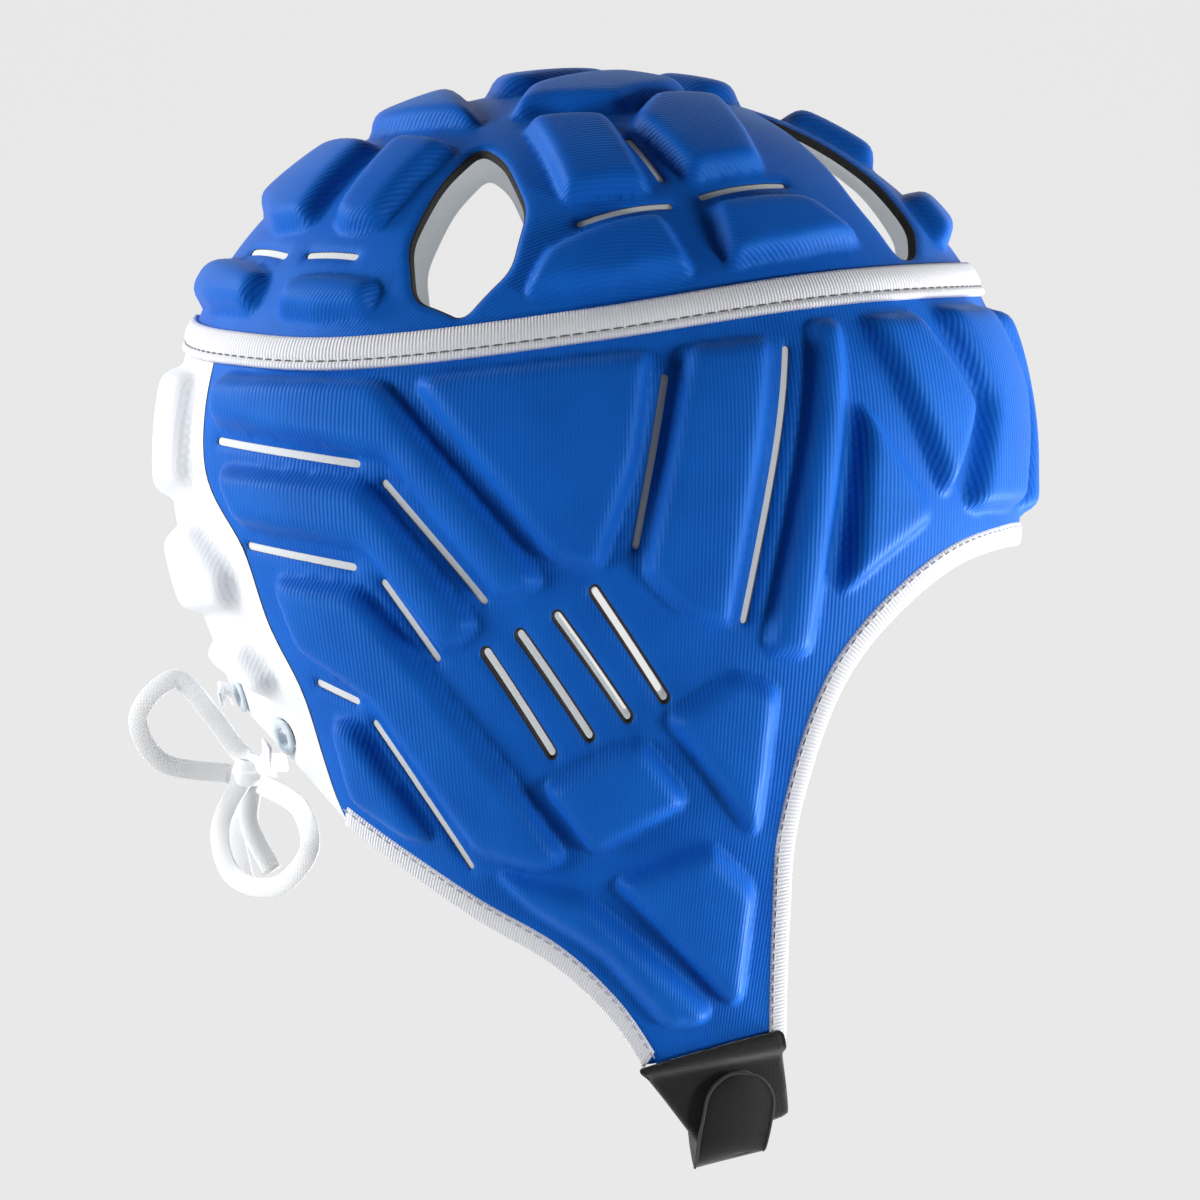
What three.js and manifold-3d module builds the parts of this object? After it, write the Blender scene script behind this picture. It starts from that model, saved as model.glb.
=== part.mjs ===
// A rugby scrum cap in the form that it has on a head.
// Millimetres, +Z up, the face looks along -Y and the wearer's right is -X.
// The origin is the top of the hollow, where the cap sits on the head.
// The padded cloth is cut and padded flat, as it is made, and then bent over the head form.

import * as THREE from "three";
import Module from "manifold-3d";
import { mergeVertices } from "three/addons/utils/BufferGeometryUtils.js";

const manifold = await Module();
manifold.setup();

// The head that the cap is shaped on
const headLength = 196;
const headWidth = 152;
const crownHeight = 86; // from the top of the hollow down to its widest level
const lowerDepth = 174; // from the widest level down to the strap under the chin
const profileRoundness = 2.1; // 2 is an ellipse, more is squarer
const planRoundness = 2.2;

// The padded cloth, a foam sheet with a grey lining laid on its inner side
const liningThickness = 0.8;
const sheetThickness = 4;
const layerGap = 0.7; // between pieces that lie on each other
const padHeight = 4.8; // above the sheet that carries the pads
const padShoulder = 2.3; // height of the rounded edge of a pad
const padEdge = 3; // width of the rounded edge of a pad
const padRoot = 0.7; // how far a pad starts inside its sheet
const cornerRadius = 3.5; // of a pad
const ventCornerRadius = 10.5;
const seamGap = 0.3;

// Tapes, straps and laces
const tapeThickness = 0.9;
const seamTapeWidth = 7.6;
const foldLeg = 4.4; // how far the folded tape reaches in from a raw edge
const slotWidth = 1.8;
const earSlotWidth = 2.6;
const patchThickness = 2.6;
const patchLow = 1; // the patch lies midway in the thickness of the cloth
const patchCornerRadius = 2;
const strapWidth = 17;
const strapThickness = 1.6;
const strapSag = 2; // from the patch's lower end down to the strap's lowest point
const laceDiameter = 3;
const knotSize = 8.4;
const eyeletBore = 4;
const eyeletWall = 0.8;
const eyeletFlange = 1.6;
const eyeletRoom = 0.7; // between the barrel and the hole in the cloth

// How finely the flat pieces are divided before they are bent
const bendStep = 22;
const bandSteepness = 0.55; // the head bends less down its sides than round them
const seamStep = 7.5; // degrees between the points of the crown's seam
const tapeStations = 30; // to a half turn
const ringSides = 8; // of an eyelet and its hole
const cordStep = 2.4; // between the sections of a lace, in its diameters
const cutMargin = 1; // by which a cut passes the faces of the sheet

const sheetTop = sheetThickness;
const padTop = sheetTop + padHeight;
const tapeLow = sheetTop + layerGap;
const tapeTop = tapeLow + tapeThickness;
const wholeDepth = crownHeight + lowerDepth;
const degree = Math.PI / 180;
const arcPerDegree = ((headLength + headWidth) / 4) * degree;

// The hollow below its widest level: the depth as a share of lowerDepth, and the reach to the
// front, back and side as shares of half the head's length and width.
const levels = [
  { depth: 0, front: 1, back: 1, side: 1 },
  { depth: 0.14, front: 1, back: 0.96, side: 0.985 },
  { depth: 0.28, front: 0.98, back: 0.87, side: 0.95 },
  { depth: 0.43, front: 0.94, back: 0.775, side: 0.895 },
  { depth: 0.57, front: 0.89, back: 0.695, side: 0.815 },
  { depth: 0.71, front: 0.83, back: 0.62, side: 0.735 },
  { depth: 0.86, front: 0.755, back: 0.56, side: 0.66 },
  { depth: 1, front: 0.675, back: 0.51, side: 0.565 },
];

// Edges of the cloth, right side. Turn is in degrees from the middle of the brow round to the
// middle of the nape, drop is the depth below the top of the hollow as a share of wholeDepth.
const seamLine = [
  { turn: 0, drop: 0.17 },
  { turn: 45, drop: 0.186 },
  { turn: 90, drop: 0.22 },
  { turn: 130, drop: 0.243 },
  { turn: 155, drop: 0.235 },
  { turn: 180, drop: 0.215 },
];
const rearJoint = [
  { turn: 157.5, drop: 0.24 },
  { turn: 157, drop: 0.34 },
  { turn: 150, drop: 0.41 },
  { turn: 147.5, drop: 0.48 },
  { turn: 143.5, drop: 0.54 },
  { turn: 142, drop: 0.6 },
  { turn: 140.5, drop: 0.655 },
];
const lowerEdge = [
  { turn: 180, drop: 0.55 },
  { turn: 166, drop: 0.56 },
  { turn: 153, drop: 0.597 },
  { turn: 140.5, drop: 0.655 },
  { turn: 130, drop: 0.69 },
  { turn: 115, drop: 0.737 },
  { turn: 99, drop: 0.778 },
  { turn: 86, drop: 0.827 },
  { turn: 77.5, drop: 0.872 },
];
const faceEdge = [
  { turn: 0, drop: 0.404 },
  { turn: 16, drop: 0.407 },
  { turn: 30, drop: 0.427 },
  { turn: 42, drop: 0.482 },
  { turn: 49, drop: 0.55 },
  { turn: 52.5, drop: 0.65 },
  { turn: 51, drop: 0.74 },
  { turn: 47.5, drop: 0.85 },
];

// Pads of the band, right side, by their corners in turn and drop
const bandPads = [
  {
    pad: "first rear bend",
    corners: [[155, 0.257], [125, 0.265], [98, 0.445], [106, 0.462], [124, 0.335], [155, 0.302]],
  },
  {
    pad: "second rear bend",
    corners: [[154, 0.335], [127, 0.352], [109.5, 0.48], [115.5, 0.51], [128, 0.413], [150, 0.39]],
  },
  {
    pad: "third rear bend",
    corners: [[145, 0.43], [129, 0.444], [95, 0.685], [101, 0.7], [113.5, 0.68], [130, 0.545], [142, 0.5]],
  },
  {
    pad: "fourth rear bend",
    corners: [[138.5, 0.555], [132.5, 0.563], [120.5, 0.67], [126, 0.672], [137, 0.635]],
  },
  {
    pad: "temple wedge",
    corners: [[121, 0.265], [80, 0.24], [82.5, 0.335], [89, 0.435], [97.5, 0.425]],
  },
  {
    pad: "temple bar",
    corners: [[74.5, 0.237], [59.5, 0.227], [66.5, 0.485], [74, 0.475], [82, 0.435]],
  },
  {
    pad: "brow bar",
    corners: [[53.5, 0.214], [47.5, 0.212], [49, 0.29], [53.5, 0.51], [61.5, 0.505]],
  },
  { pad: "brow triangle", corners: [[47.3, 0.275], [34, 0.383], [42, 0.42], [50, 0.462]] },
  { pad: "outer brow", corners: [[45.5, 0.21], [34, 0.205], [25.5, 0.285], [32, 0.375]] },
  {
    pad: "inner brow",
    corners: [[30.5, 0.2], [15, 0.196], [8, 0.27], [12.5, 0.375], [28.5, 0.38], [24, 0.28]],
  },
  { pad: "cheek block", corners: [[100.5, 0.62], [82, 0.573], [71.5, 0.635], [90, 0.685]] },
  { pad: "cheek triangle", corners: [[66, 0.517], [58, 0.533], [59, 0.675], [77.5, 0.56]] },
  { pad: "jaw block", corners: [[87, 0.703], [67.5, 0.668], [58, 0.71], [57, 0.815], [60, 0.82]] },
  {
    pad: "jaw bar",
    corners: [[113, 0.69], [92, 0.715], [62, 0.825], [66, 0.838], [73, 0.84], [88, 0.775], [103, 0.733]],
  },
];
const centreBrowPad = [[10.5, 0.197], [4.5, 0.27], [9.5, 0.38]];

// Slots of the band, right side, from one end to the other
const bandSlots = [
  { from: [154, 0.316], to: [129, 0.338] },
  { from: [124.5, 0.355], to: [109, 0.458] },
  { from: [149, 0.408], to: [130.5, 0.428] },
  { from: [125.5, 0.442], to: [117.5, 0.508] },
  { from: [140, 0.53], to: [133, 0.546] },
  { from: [130, 0.566], to: [115, 0.692] },
  { from: [78, 0.265], to: [83, 0.41] },
  { from: [57.5, 0.24], to: [64.5, 0.475] },
];
const earSlots = [
  { from: [109, 0.504], to: [98, 0.592] },
  { from: [103, 0.488], to: [91, 0.577] },
  { from: [96.5, 0.472], to: [84, 0.56] },
  { from: [90, 0.45], to: [77.5, 0.543] },
];

// Pads of the crown, right side, by their corners in degrees of tilt from the top,
// to the wearer's right and ahead
const crownPads = [
  { pad: "upper rear side", corners: [[28.5, -12.5], [29.5, 2.5], [47.5, 11], [50.5, -6]] },
  { pad: "upper front side", corners: [[30.5, 6], [20, 8.5], [13.5, 18], [33, 28], [43.5, 17]] },
  { pad: "lower rear side", corners: [[66, -16], [58.5, -10], [51, 12.5], [60.5, 21], [66.5, 3]] },
  {
    pad: "lower front side",
    corners: [[46.5, 20.5], [35, 34], [35.5, 46], [47.5, 37], [57.5, 26]],
  },
  { pad: "top bar", corners: [[25.5, -14], [16, -11], [5.5, 4], [11, 14], [17, 12], [26, 4]] },
  { pad: "back top", corners: [[26.5, -18], [3, -17], [3, -31], [11, -31]] },
  { pad: "back outer", corners: [[30, -22], [20, -28.5], [32.5, -43], [37, -42], [41, -37]] },
  { pad: "back inner", corners: [[18.5, -31], [3.5, -35], [3, -50], [22, -50.5], [29.5, -46]] },
  {
    pad: "back lower outer",
    corners: [[50.5, -40], [36, -52], [39, -58], [47.5, -52.5], [55, -44]],
  },
  {
    pad: "back lower inner",
    corners: [[31, -54.5], [3, -59.5], [3, -67], [20, -65.5], [33.5, -61]],
  },
];
const crownCentrePads = [
  { pad: "top rear", corners: [[11, -14], [12, -9], [2.5, 3]] },
  { pad: "top front", corners: [[2.5, 6], [9, 14], [7, 19]] },
  { pad: "front upper", corners: [[5, 25], [8, 40]] },
  { pad: "front lower", corners: [[13, 46], [18, 55.5]] },
];
const crownSlots = [
  { from: [34, 6], to: [43, 12] },
  { from: [54, -3], to: [48.5, 14] },
  { from: [44.5, 19.5], to: [33.5, 31] },
  { from: [18, -55], to: [29, -51.5] },
  { from: [34, -48.5], to: [42, -42.5] },
];
const vents = [
  {
    vent: "rear",
    corners: [[31, -19], [37, -16], [50, -13], [60, -17], [65, -28], [57, -36], [47, -34], [37, -26]],
  },
  {
    vent: "front",
    corners: [[7, 21], [18, 32], [26.5, 41.5], [31, 51], [27, 53], [19, 50], [12.5, 41], [9, 31]],
  },
];

// Pads of the nape, right side, in turn and drop
const napePads = [
  { pad: "upper nape", corners: [[176, 0.245], [162, 0.255], [161, 0.355], [176, 0.365]] },
  {
    pad: "middle nape",
    corners: [[176, 0.39], [161, 0.38], [153, 0.43], [154, 0.465], [176, 0.465]],
  },
  {
    pad: "lower nape",
    corners: [[172, 0.487], [155, 0.487], [148.5, 0.53], [152, 0.545], [168, 0.51]],
  },
];
const eyelets = [
  { name: "upper_eyelet", turn: 166, drop: 0.54 },
  { name: "lower_eyelet", turn: 152, drop: 0.578 },
];
const chinPatch = [[79.5, 0.8785], [45.5, 0.8535], [42.5, 0.92], [61, 0.952]];
const strapTurn = 55; // where the strap lies on the chin patches
const strapDrops = [0.877, 0.882, 0.892, 0.925, 0.956];
const tabWidths = [0.4, 0.78, 0.98]; // the round end of the strap, as shares of its width
// The strap's way in under the chin: shares of its half span and of its sag
const strapUnder = [
  { side: 0.86, sag: 0.62 },
  { side: 0.68, sag: 0.88 },
  { side: 0.4, sag: 0.98 },
];

// The lace below the nape. The knot is placed on the head form, and the points of the bow are
// chosen by hand from the knot's middle in shares of the head's length: ahead, up, to the right.
const knot = { turn: 180, drop: 0.61, out: 7 };
const bow = [
  {
    name: "lace_upper_loop",
    points: [
      [-0.009, 0.022, 0],
      [-0.045, 0.07, 0.01],
      [-0.09, 0.115, 0.02],
      [-0.135, 0.07, 0.02],
      [-0.11, 0.015, 0.01],
      [-0.024, -0.002, 0],
    ],
  },
  {
    name: "lace_lower_loop",
    points: [
      [-0.014, -0.02, 0.006],
      [-0.034, -0.07, 0.03],
      [-0.015, -0.125, 0.07],
      [0.04, -0.135, 0.11],
      [0.08, -0.09, 0.14],
      [0.07, -0.045, 0.11],
      [0.018, -0.016, 0.014],
    ],
  },
  {
    name: "lace_right_end",
    points: [[0.007, -0.024, -0.002], [0, -0.06, 0.005], [0.03, -0.12, 0.03]],
  },
  {
    name: "lace_left_end",
    points: [[-0.005, -0.013, -0.022], [-0.02, -0.07, -0.05], [-0.01, -0.13, -0.06]],
  },
];
// The right run of the lace from the knot to the lower eyelet, in turn, drop and height
const laceRun = [
  [176.8, 0.604, 3.4],
  [168, 0.607, 3],
  [159, 0.606, 4.5],
  [153.5, 0.592, 8.5],
  [152, 0.578, 8.8],
];
const laceAcross = [[166, 0.54, 8.8], [171, 0.535, 6.8], [176, 0.533, 6.5]];

// Materials
const cloth = (color, roughness) => new THREE.MeshStandardMaterial({ color, roughness, metalness: 0 });
const blueKnit = cloth(0x0f4fc4, 0.55);
const whiteKnit = cloth(0xf1f2f4, 0.6);
const whiteTape = cloth(0xe4e5ea, 0.75);
const blackLoop = cloth(0x121213, 0.95);
const greyPlastic = cloth(0xcdd6de, 0.4);

// The head form

function sectionReach(column, depth) {
  const last = levels.length - 1;
  let i = 0;
  while (i < last - 1 && levels[i + 1].depth < depth) i += 1;
  const t = (depth - levels[i].depth) / (levels[i + 1].depth - levels[i].depth);
  const before = levels[i === 0 ? 1 : i - 1][column];
  const start = levels[i][column];
  const end = levels[i + 1][column];
  const after = i + 2 > last ? 2 * end - start : levels[i + 2][column];
  const second = (2 * before - 5 * start + 4 * end - after) * t ** 2;
  const third = (3 * start - before - 3 * end + after) * t ** 3;
  return 0.5 * (2 * start + (end - before) * t + second + third);
}

// A point of the hollow. Level is 0 at the top, 1 at the widest and 2 at the strap.
function hollowPoint(turn, level) {
  const angle = Math.min(level, 1) * 90 * degree;
  const upper = Math.sin(angle) ** (2 / profileRoundness);
  const below = Math.max(level - 1, 0);
  const reach = (column) => (level <= 1 ? upper : sectionReach(column, below));
  const rise = Math.max(Math.cos(angle), 0) ** (2 / profileRoundness);
  const drop = level <= 1 ? crownHeight * (1 - rise) : crownHeight + below * lowerDepth;
  const ahead = Math.cos(turn * degree);
  const aside = Math.sin(turn * degree);
  const length = (headLength / 2) * reach(ahead > 0 ? "front" : "back");
  const width = (headWidth / 2) * reach("side");
  const spread = (Math.abs(ahead) / length) ** planRoundness + (Math.abs(aside) / width) ** planRoundness;
  const radius = level < 1e-6 ? 0 : spread ** (-1 / planRoundness);
  return new THREE.Vector3(-radius * aside, -radius * ahead, -drop);
}

// A point at a height above the hollow, measured square to it
function headPoint(turn, level, out) {
  const step = 1e-3;
  const safe = Math.max(level, 2 * step);
  const round = hollowPoint(turn + 1, safe).sub(hollowPoint(turn - 1, safe));
  const down = hollowPoint(turn, safe + step).sub(hollowPoint(turn, safe - step));
  const normal = level < 2 * step ? new THREE.Vector3(0, 0, 1) : round.cross(down).normalize();
  return hollowPoint(turn, level).addScaledVector(normal, out);
}

function levelAt(drop) {
  if (drop > crownHeight) return 1 + (drop - crownHeight) / lowerDepth;
  return Math.acos((1 - drop / crownHeight) ** (profileRoundness / 2)) / (90 * degree);
}

const otherSide = (point) => new THREE.Vector3(-point.x, point.y, point.z);

// The two flat charts and how each is bent over the head

const bandFlat = ([turn, drop]) => new THREE.Vector2(turn * arcPerDegree, drop * wholeDepth);
const bendBand = (x, y, z) => headPoint(x / arcPerDegree, levelAt(y), z);
const crownFlat = ([right, ahead]) => new THREE.Vector2(-right * arcPerDegree, -ahead * arcPerDegree);

function bendCrown(x, y, z) {
  const tilt = Math.hypot(x, y) / arcPerDegree;
  return headPoint(Math.atan2(-x, -y) / degree, tilt / 90, z);
}

const mirrored = (points) => points.map(([turn, drop]) => [-turn, drop]).reverse();
const acrossNape = (points) => points.map(([turn, drop]) => [360 - turn, drop]).reverse();
const wholeOutline = (half) => [...half, ...mirrored(half)];

// A smooth edge through the rows of a table
function edge(rows, pointsPerRow = 2) {
  const curve = new THREE.SplineCurve(rows.map(({ turn, drop }) => new THREE.Vector2(turn, drop)));
  return curve.getPoints((rows.length - 1) * pointsPerRow).map(({ x, y }) => [x, y]);
}

function seamDrop(turn) {
  const rows = edge(seamLine, 8);
  const next = Math.max(rows.findIndex(([at]) => at >= turn), 1);
  const [before, after] = [rows[next - 1], rows[next]];
  const share = (turn - before[0]) / (after[0] - before[0]);
  return before[1] + (after[1] - before[1]) * share;
}

// Flat shapes

function roundedShape(points, radius) {
  const shape = new THREE.Shape();
  points.forEach((corner, i) => {
    const before = points[(i + points.length - 1) % points.length];
    const after = points[(i + 1) % points.length];
    const cutBack = (other) => Math.min(radius / corner.distanceTo(other), 0.4);
    const start = corner.clone().lerp(before, cutBack(before));
    const end = corner.clone().lerp(after, cutBack(after));
    if (i === 0) shape.moveTo(start.x, start.y);
    else shape.lineTo(start.x, start.y);
    shape.quadraticCurveTo(corner.x, corner.y, end.x, end.y);
  });
  shape.closePath();
  return shape;
}

function slotShape(from, to, width) {
  const along = to.clone().sub(from);
  const angle = along.angle();
  const shape = new THREE.Shape();
  shape.absarc(from.x, from.y, width / 2, angle + Math.PI / 2, angle - Math.PI / 2);
  shape.absarc(to.x, to.y, width / 2, angle - Math.PI / 2, angle + Math.PI / 2);
  shape.closePath();
  return shape;
}

// Solids

const acuteLimit = 0.85;

function solid(geometry) {
  const bare = new THREE.BufferGeometry();
  bare.setAttribute("position", geometry.getAttribute("position"));
  if (geometry.index) bare.setIndex(geometry.index);
  const merged = mergeVertices(bare, 1e-4);
  const vertProperties = new Float32Array(merged.getAttribute("position").array);
  const triVerts = new Uint32Array(merged.index.array);
  return new manifold.Manifold(new manifold.Mesh({ numProp: 3, vertProperties, triVerts }));
}

function plate(shape, low, high, curveSegments = 1) {
  const geometry = new THREE.ExtrudeGeometry(shape, {
    depth: high - low,
    bevelEnabled: false,
    curveSegments,
  });
  return solid(geometry.translate(0, 0, low));
}

// Moves each point of an outline inwards, an acute corner less far than its sides would meet
function inset(outline, distance) {
  return outline.map((point, i) => {
    const before = outline[(i + outline.length - 1) % outline.length];
    const after = outline[(i + 1) % outline.length];
    const one = point.clone().sub(before).normalize();
    const two = after.clone().sub(point).normalize();
    const inward = new THREE.Vector2(-one.y - two.y, one.x + two.x);
    const reach = distance / Math.max(inward.length() / 2, acuteLimit);
    return point.clone().addScaledVector(inward.normalize(), reach);
  });
}

// A pad with a sloped upper edge, which starts inside the sheet
function pad(corners) {
  const outline = roundedShape(corners, cornerRadius).extractPoints(1).shape.slice(0, -1);
  if (THREE.ShapeUtils.isClockWise(outline)) outline.reverse();
  const rings = [
    { inwards: 0, height: sheetTop - padRoot },
    { inwards: 0, height: padTop - padShoulder },
    { inwards: padEdge, height: padTop },
  ];
  const sections = rings.map(({ inwards, height }) =>
    inset(outline, inwards).map(({ x, y }) => new THREE.Vector3(x, y, height)),
  );
  return solid(lofted(sections, outline, false));
}

// Turns the shared edges of level faces wherever that makes their two triangles rounder
function evened(points, triangles) {
  const doubleArea = (a, b, c) => {
    const [p, q, r] = [points[a], points[b], points[c]];
    return (q[0] - p[0]) * (r[1] - p[1]) - (q[1] - p[1]) * (r[0] - p[0]);
  };
  const step = (a, b) => Math.abs(points[a][2] - points[b][2]);
  const level = ([a, b, c]) => step(a, b) + step(b, c) < 1e-3;
  const away = (a, b) => new THREE.Vector2(points[b][0] - points[a][0], points[b][1] - points[a][1]);
  const angle = (a, b, c) => {
    const [one, two] = [away(c, a), away(c, b)];
    return Math.acos(THREE.MathUtils.clamp(one.dot(two) / (one.length() * two.length() || 1), -1, 1));
  };
  let turned = 1;
  while (turned > 0) {
    turned = 0;
    const owners = new Map();
    const touched = new Set();
    triangles.forEach((corners, index) => {
      if (!level(corners)) return;
      for (const i of [0, 1, 2]) {
        owners.set(`${corners[i]} ${corners[(i + 1) % 3]}`, { index, apex: corners[(i + 2) % 3] });
      }
    });
    for (const [key, one] of owners) {
      const [a, b] = key.split(" ").map(Number);
      const two = owners.get(`${b} ${a}`);
      if (!two || touched.has(one.index) || touched.has(two.index)) continue;
      const sign = Math.sign(doubleArea(a, b, one.apex));
      const [first, second] = [[one.apex, a, two.apex], [one.apex, two.apex, b]];
      const sound = [first, second].every((corners) => doubleArea(...corners) * sign > 1e-3);
      if (!sound || angle(a, b, one.apex) + angle(a, b, two.apex) < Math.PI + 1e-6) continue;
      triangles[one.index] = first;
      triangles[two.index] = second;
      touched.add(one.index).add(two.index);
      turned += 1;
    }
  }
  return triangles;
}

// Halves every edge longer than bendStep until none is left, so that the mesh can bend
function divided(points, triangles, steepness) {
  const middles = new Map();
  const length = (a, b) => {
    const [across, down] = [0, 1].map((i) => points[a][i] - points[b][i]);
    return Math.hypot(across, down * steepness);
  };
  const middle = (a, b) => {
    const key = a < b ? `${a} ${b}` : `${b} ${a}`;
    if (!middles.has(key)) {
      middles.set(key, points.length);
      points.push(points[a].map((value, i) => (value + points[b][i]) / 2));
    }
    return middles.get(key);
  };
  const waiting = [...triangles];
  const finished = [];
  while (waiting.length > 0) {
    const corners = waiting.pop();
    const sides = [0, 1, 2].map((i) => length(corners[i], corners[(i + 1) % 3]));
    const longest = sides.indexOf(Math.max(...sides));
    if (sides[longest] <= bendStep) {
      finished.push(corners);
      continue;
    }
    const [a, b, c] = [0, 1, 2].map((i) => corners[(longest + i) % 3]);
    const m = middle(a, b);
    waiting.push([a, m, c], [m, b, c]);
  }
  return finished;
}

// A flat solid bent over the head
function bent(flat, bend, steepness = 1) {
  const { vertProperties, triVerts, numProp } = flat.getMesh();
  const points = [];
  for (let i = 0; i < vertProperties.length; i += numProp) {
    points.push([...vertProperties.slice(i, i + 3)]);
  }
  const triangles = [];
  for (let i = 0; i < triVerts.length; i += 3) {
    triangles.push([...triVerts.slice(i, i + 3)]);
  }
  const faces = divided(points, evened(points, triangles), steepness);
  const geometry = new THREE.BufferGeometry();
  const places = points.flatMap(([x, y, z]) => bend(x, y, z).toArray());
  geometry.setAttribute("position", new THREE.Float32BufferAttribute(places, 3));
  geometry.setIndex(faces.flat());
  return geometry;
}

// A solid through a row of sections, each a list of points in the order of the outline
function lofted(sections, outline, closed) {
  const size = outline.length;
  const faces = [];
  const spans = closed ? sections.length : sections.length - 1;
  for (let i = 0; i < spans; i += 1) {
    const next = (i + 1) % sections.length;
    for (let j = 0; j < size; j += 1) {
      const [a, b] = [i * size + j, i * size + ((j + 1) % size)];
      const [c, d] = [next * size + j, next * size + ((j + 1) % size)];
      faces.push(a, b, d, a, d, c);
    }
  }
  if (!closed) {
    const last = spans * size;
    for (const [a, b, c] of THREE.ShapeUtils.triangulateShape(outline, [])) {
      faces.push(c, b, a, last + a, last + b, last + c);
    }
  }
  const geometry = new THREE.BufferGeometry();
  const places = sections.flat().flatMap((point) => point.toArray());
  geometry.setAttribute("position", new THREE.Float32BufferAttribute(places, 3));
  geometry.setIndex(faces);
  return geometry;
}

// A tape laid along a course on the band's chart. Its section is in [across, out].
function tape(course, section, closed) {
  const flat = course.map(bandFlat);
  const count = flat.length;
  const fullTurn = 360 * arcPerDegree;
  const outline = section.map(([across, out]) => new THREE.Vector2(across, out));
  const sections = flat.map((point, i) => {
    const before = flat[closed ? (i + count - 1) % count : Math.max(i - 1, 0)];
    const after = flat[closed ? (i + 1) % count : Math.min(i + 1, count - 1)];
    const along = after.clone().sub(before);
    if (Math.abs(along.x) > fullTurn / 2) along.x -= Math.sign(along.x) * fullTurn;
    const side = new THREE.Vector2(-along.y, along.x).normalize();
    return outline.map(({ x, y }) => {
      const place = point.clone().addScaledVector(side, x);
      return bendBand(place.x, place.y, y);
    });
  });
  return lofted(sections, outline, closed);
}

// A flat strap through places that each have the direction of its width
function ribbon(places, thickness) {
  const square = [[-0.5, -0.5], [0.5, -0.5], [0.5, 0.5], [-0.5, 0.5]];
  const outline = square.map(([x, y]) => new THREE.Vector2(x, y));
  const sections = places.map(({ at, across, width }, i) => {
    const before = places[Math.max(i - 1, 0)].at;
    const after = places[Math.min(i + 1, places.length - 1)].at;
    const along = after.clone().sub(before).normalize();
    const out = along.clone().cross(across).normalize();
    const side = out.clone().cross(along);
    return outline.map(({ x, y }) => {
      return at.clone().addScaledVector(side, x * width).addScaledVector(out, y * thickness);
    });
  });
  return lofted(sections, outline, false);
}

// A ready-made geometry as one closed mesh
function welded(geometry) {
  geometry.deleteAttribute("normal");
  geometry.deleteAttribute("uv");
  return mergeVertices(geometry, 1e-4);
}

// A round cord along chosen points
function cord(points) {
  const curve = new THREE.CatmullRomCurve3(points, false, "centripetal");
  const circle = new THREE.Shape().absarc(0, 0, laceDiameter / 2, 0, 2 * Math.PI);
  const steps = Math.max(Math.round(curve.getLength() / (cordStep * laceDiameter)), 2);
  return welded(new THREE.ExtrudeGeometry(circle, { extrudePath: curve, steps, curveSegments: 4 }));
}

// The pieces

const cap = new THREE.Group();

function add(name, geometry, material) {
  geometry.computeVertexNormals();
  const mesh = new THREE.Mesh(geometry, material);
  mesh.name = name;
  cap.add(mesh);
  return mesh;
}

const seamTurns = (from, to) => {
  const count = Math.ceil((to - from) / seamStep - 1e-6);
  return Array.from({ length: count + 1 }, (_, i) => from + ((to - from) * i) / count);
};

// The upper edge of the band and nape, half a gap below the seam
const underSeam = (from, to) => {
  return seamTurns(from, to).map((turn) => [turn, seamDrop(turn) + seamGap / 2 / wholeDepth]);
};

function crownRim() {
  const half = seamTurns(0, 180).map((turn) => {
    const tilt = levelAt(seamDrop(turn) * wholeDepth - seamGap / 2) * 90;
    return [tilt * Math.sin(turn * degree), tilt * Math.cos(turn * degree)];
  });
  return [...half, ...mirrored(half).slice(1, -1)];
}

// Cuts slots on both sides down to a floor. The narrow ones stop at the lining.
function cutSlots(body, slots, width, toFlat, floor) {
  let cut = body;
  for (const { from, to } of slots) {
    for (const side of [1, -1]) {
      const ends = [from, to].map(([first, second]) => toFlat([side * first, second]));
      cut = cut.subtract(plate(slotShape(...ends, width), floor, sheetTop + cutMargin));
    }
  }
  return cut;
}

function bothSides(rows, toFlat) {
  return rows.flatMap(({ corners }) => [corners, mirrored(corners)].map((points) => points.map(toFlat)));
}

function crown() {
  const centre = crownCentrePads.map(({ corners }) => wholeOutline(corners).map(crownFlat));
  const pads = [...bothSides(crownPads, crownFlat), ...centre].map(pad);
  let sheet = plate(new THREE.Shape(crownRim().map(crownFlat)), 0, sheetTop);
  for (const outline of bothSides(vents, crownFlat)) {
    const vent = roundedShape(outline, ventCornerRadius);
    sheet = sheet.subtract(plate(vent, -cutMargin, sheetTop + cutMargin));
  }
  sheet = cutSlots(sheet, crownSlots, slotWidth, crownFlat, liningThickness);
  return bent(pads.reduce((body, one) => body.add(one), sheet), bendCrown);
}

function bandOutline() {
  const rear = edge(rearJoint);
  const lower = edge(lowerEdge.filter(({ turn }) => turn <= rear.at(-1)[0]));
  const upper = underSeam(0, rear[0][0]);
  const half = [...upper, ...rear.slice(1), ...lower.slice(1), ...edge(faceEdge).reverse()];
  return [...half, ...mirrored(half).slice(1, -1)];
}

function band() {
  const centre = wholeOutline(centreBrowPad).map(bandFlat);
  const pads = [...bothSides(bandPads, bandFlat), centre].map(pad);
  let sheet = plate(new THREE.Shape(bandOutline().map(bandFlat)), 0, sheetTop);
  sheet = cutSlots(sheet, bandSlots, slotWidth, bandFlat, liningThickness);
  sheet = cutSlots(sheet, earSlots, earSlotWidth, bandFlat, -cutMargin);
  return bent(pads.reduce((body, one) => body.add(one), sheet), bendBand, bandSteepness);
}

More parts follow.
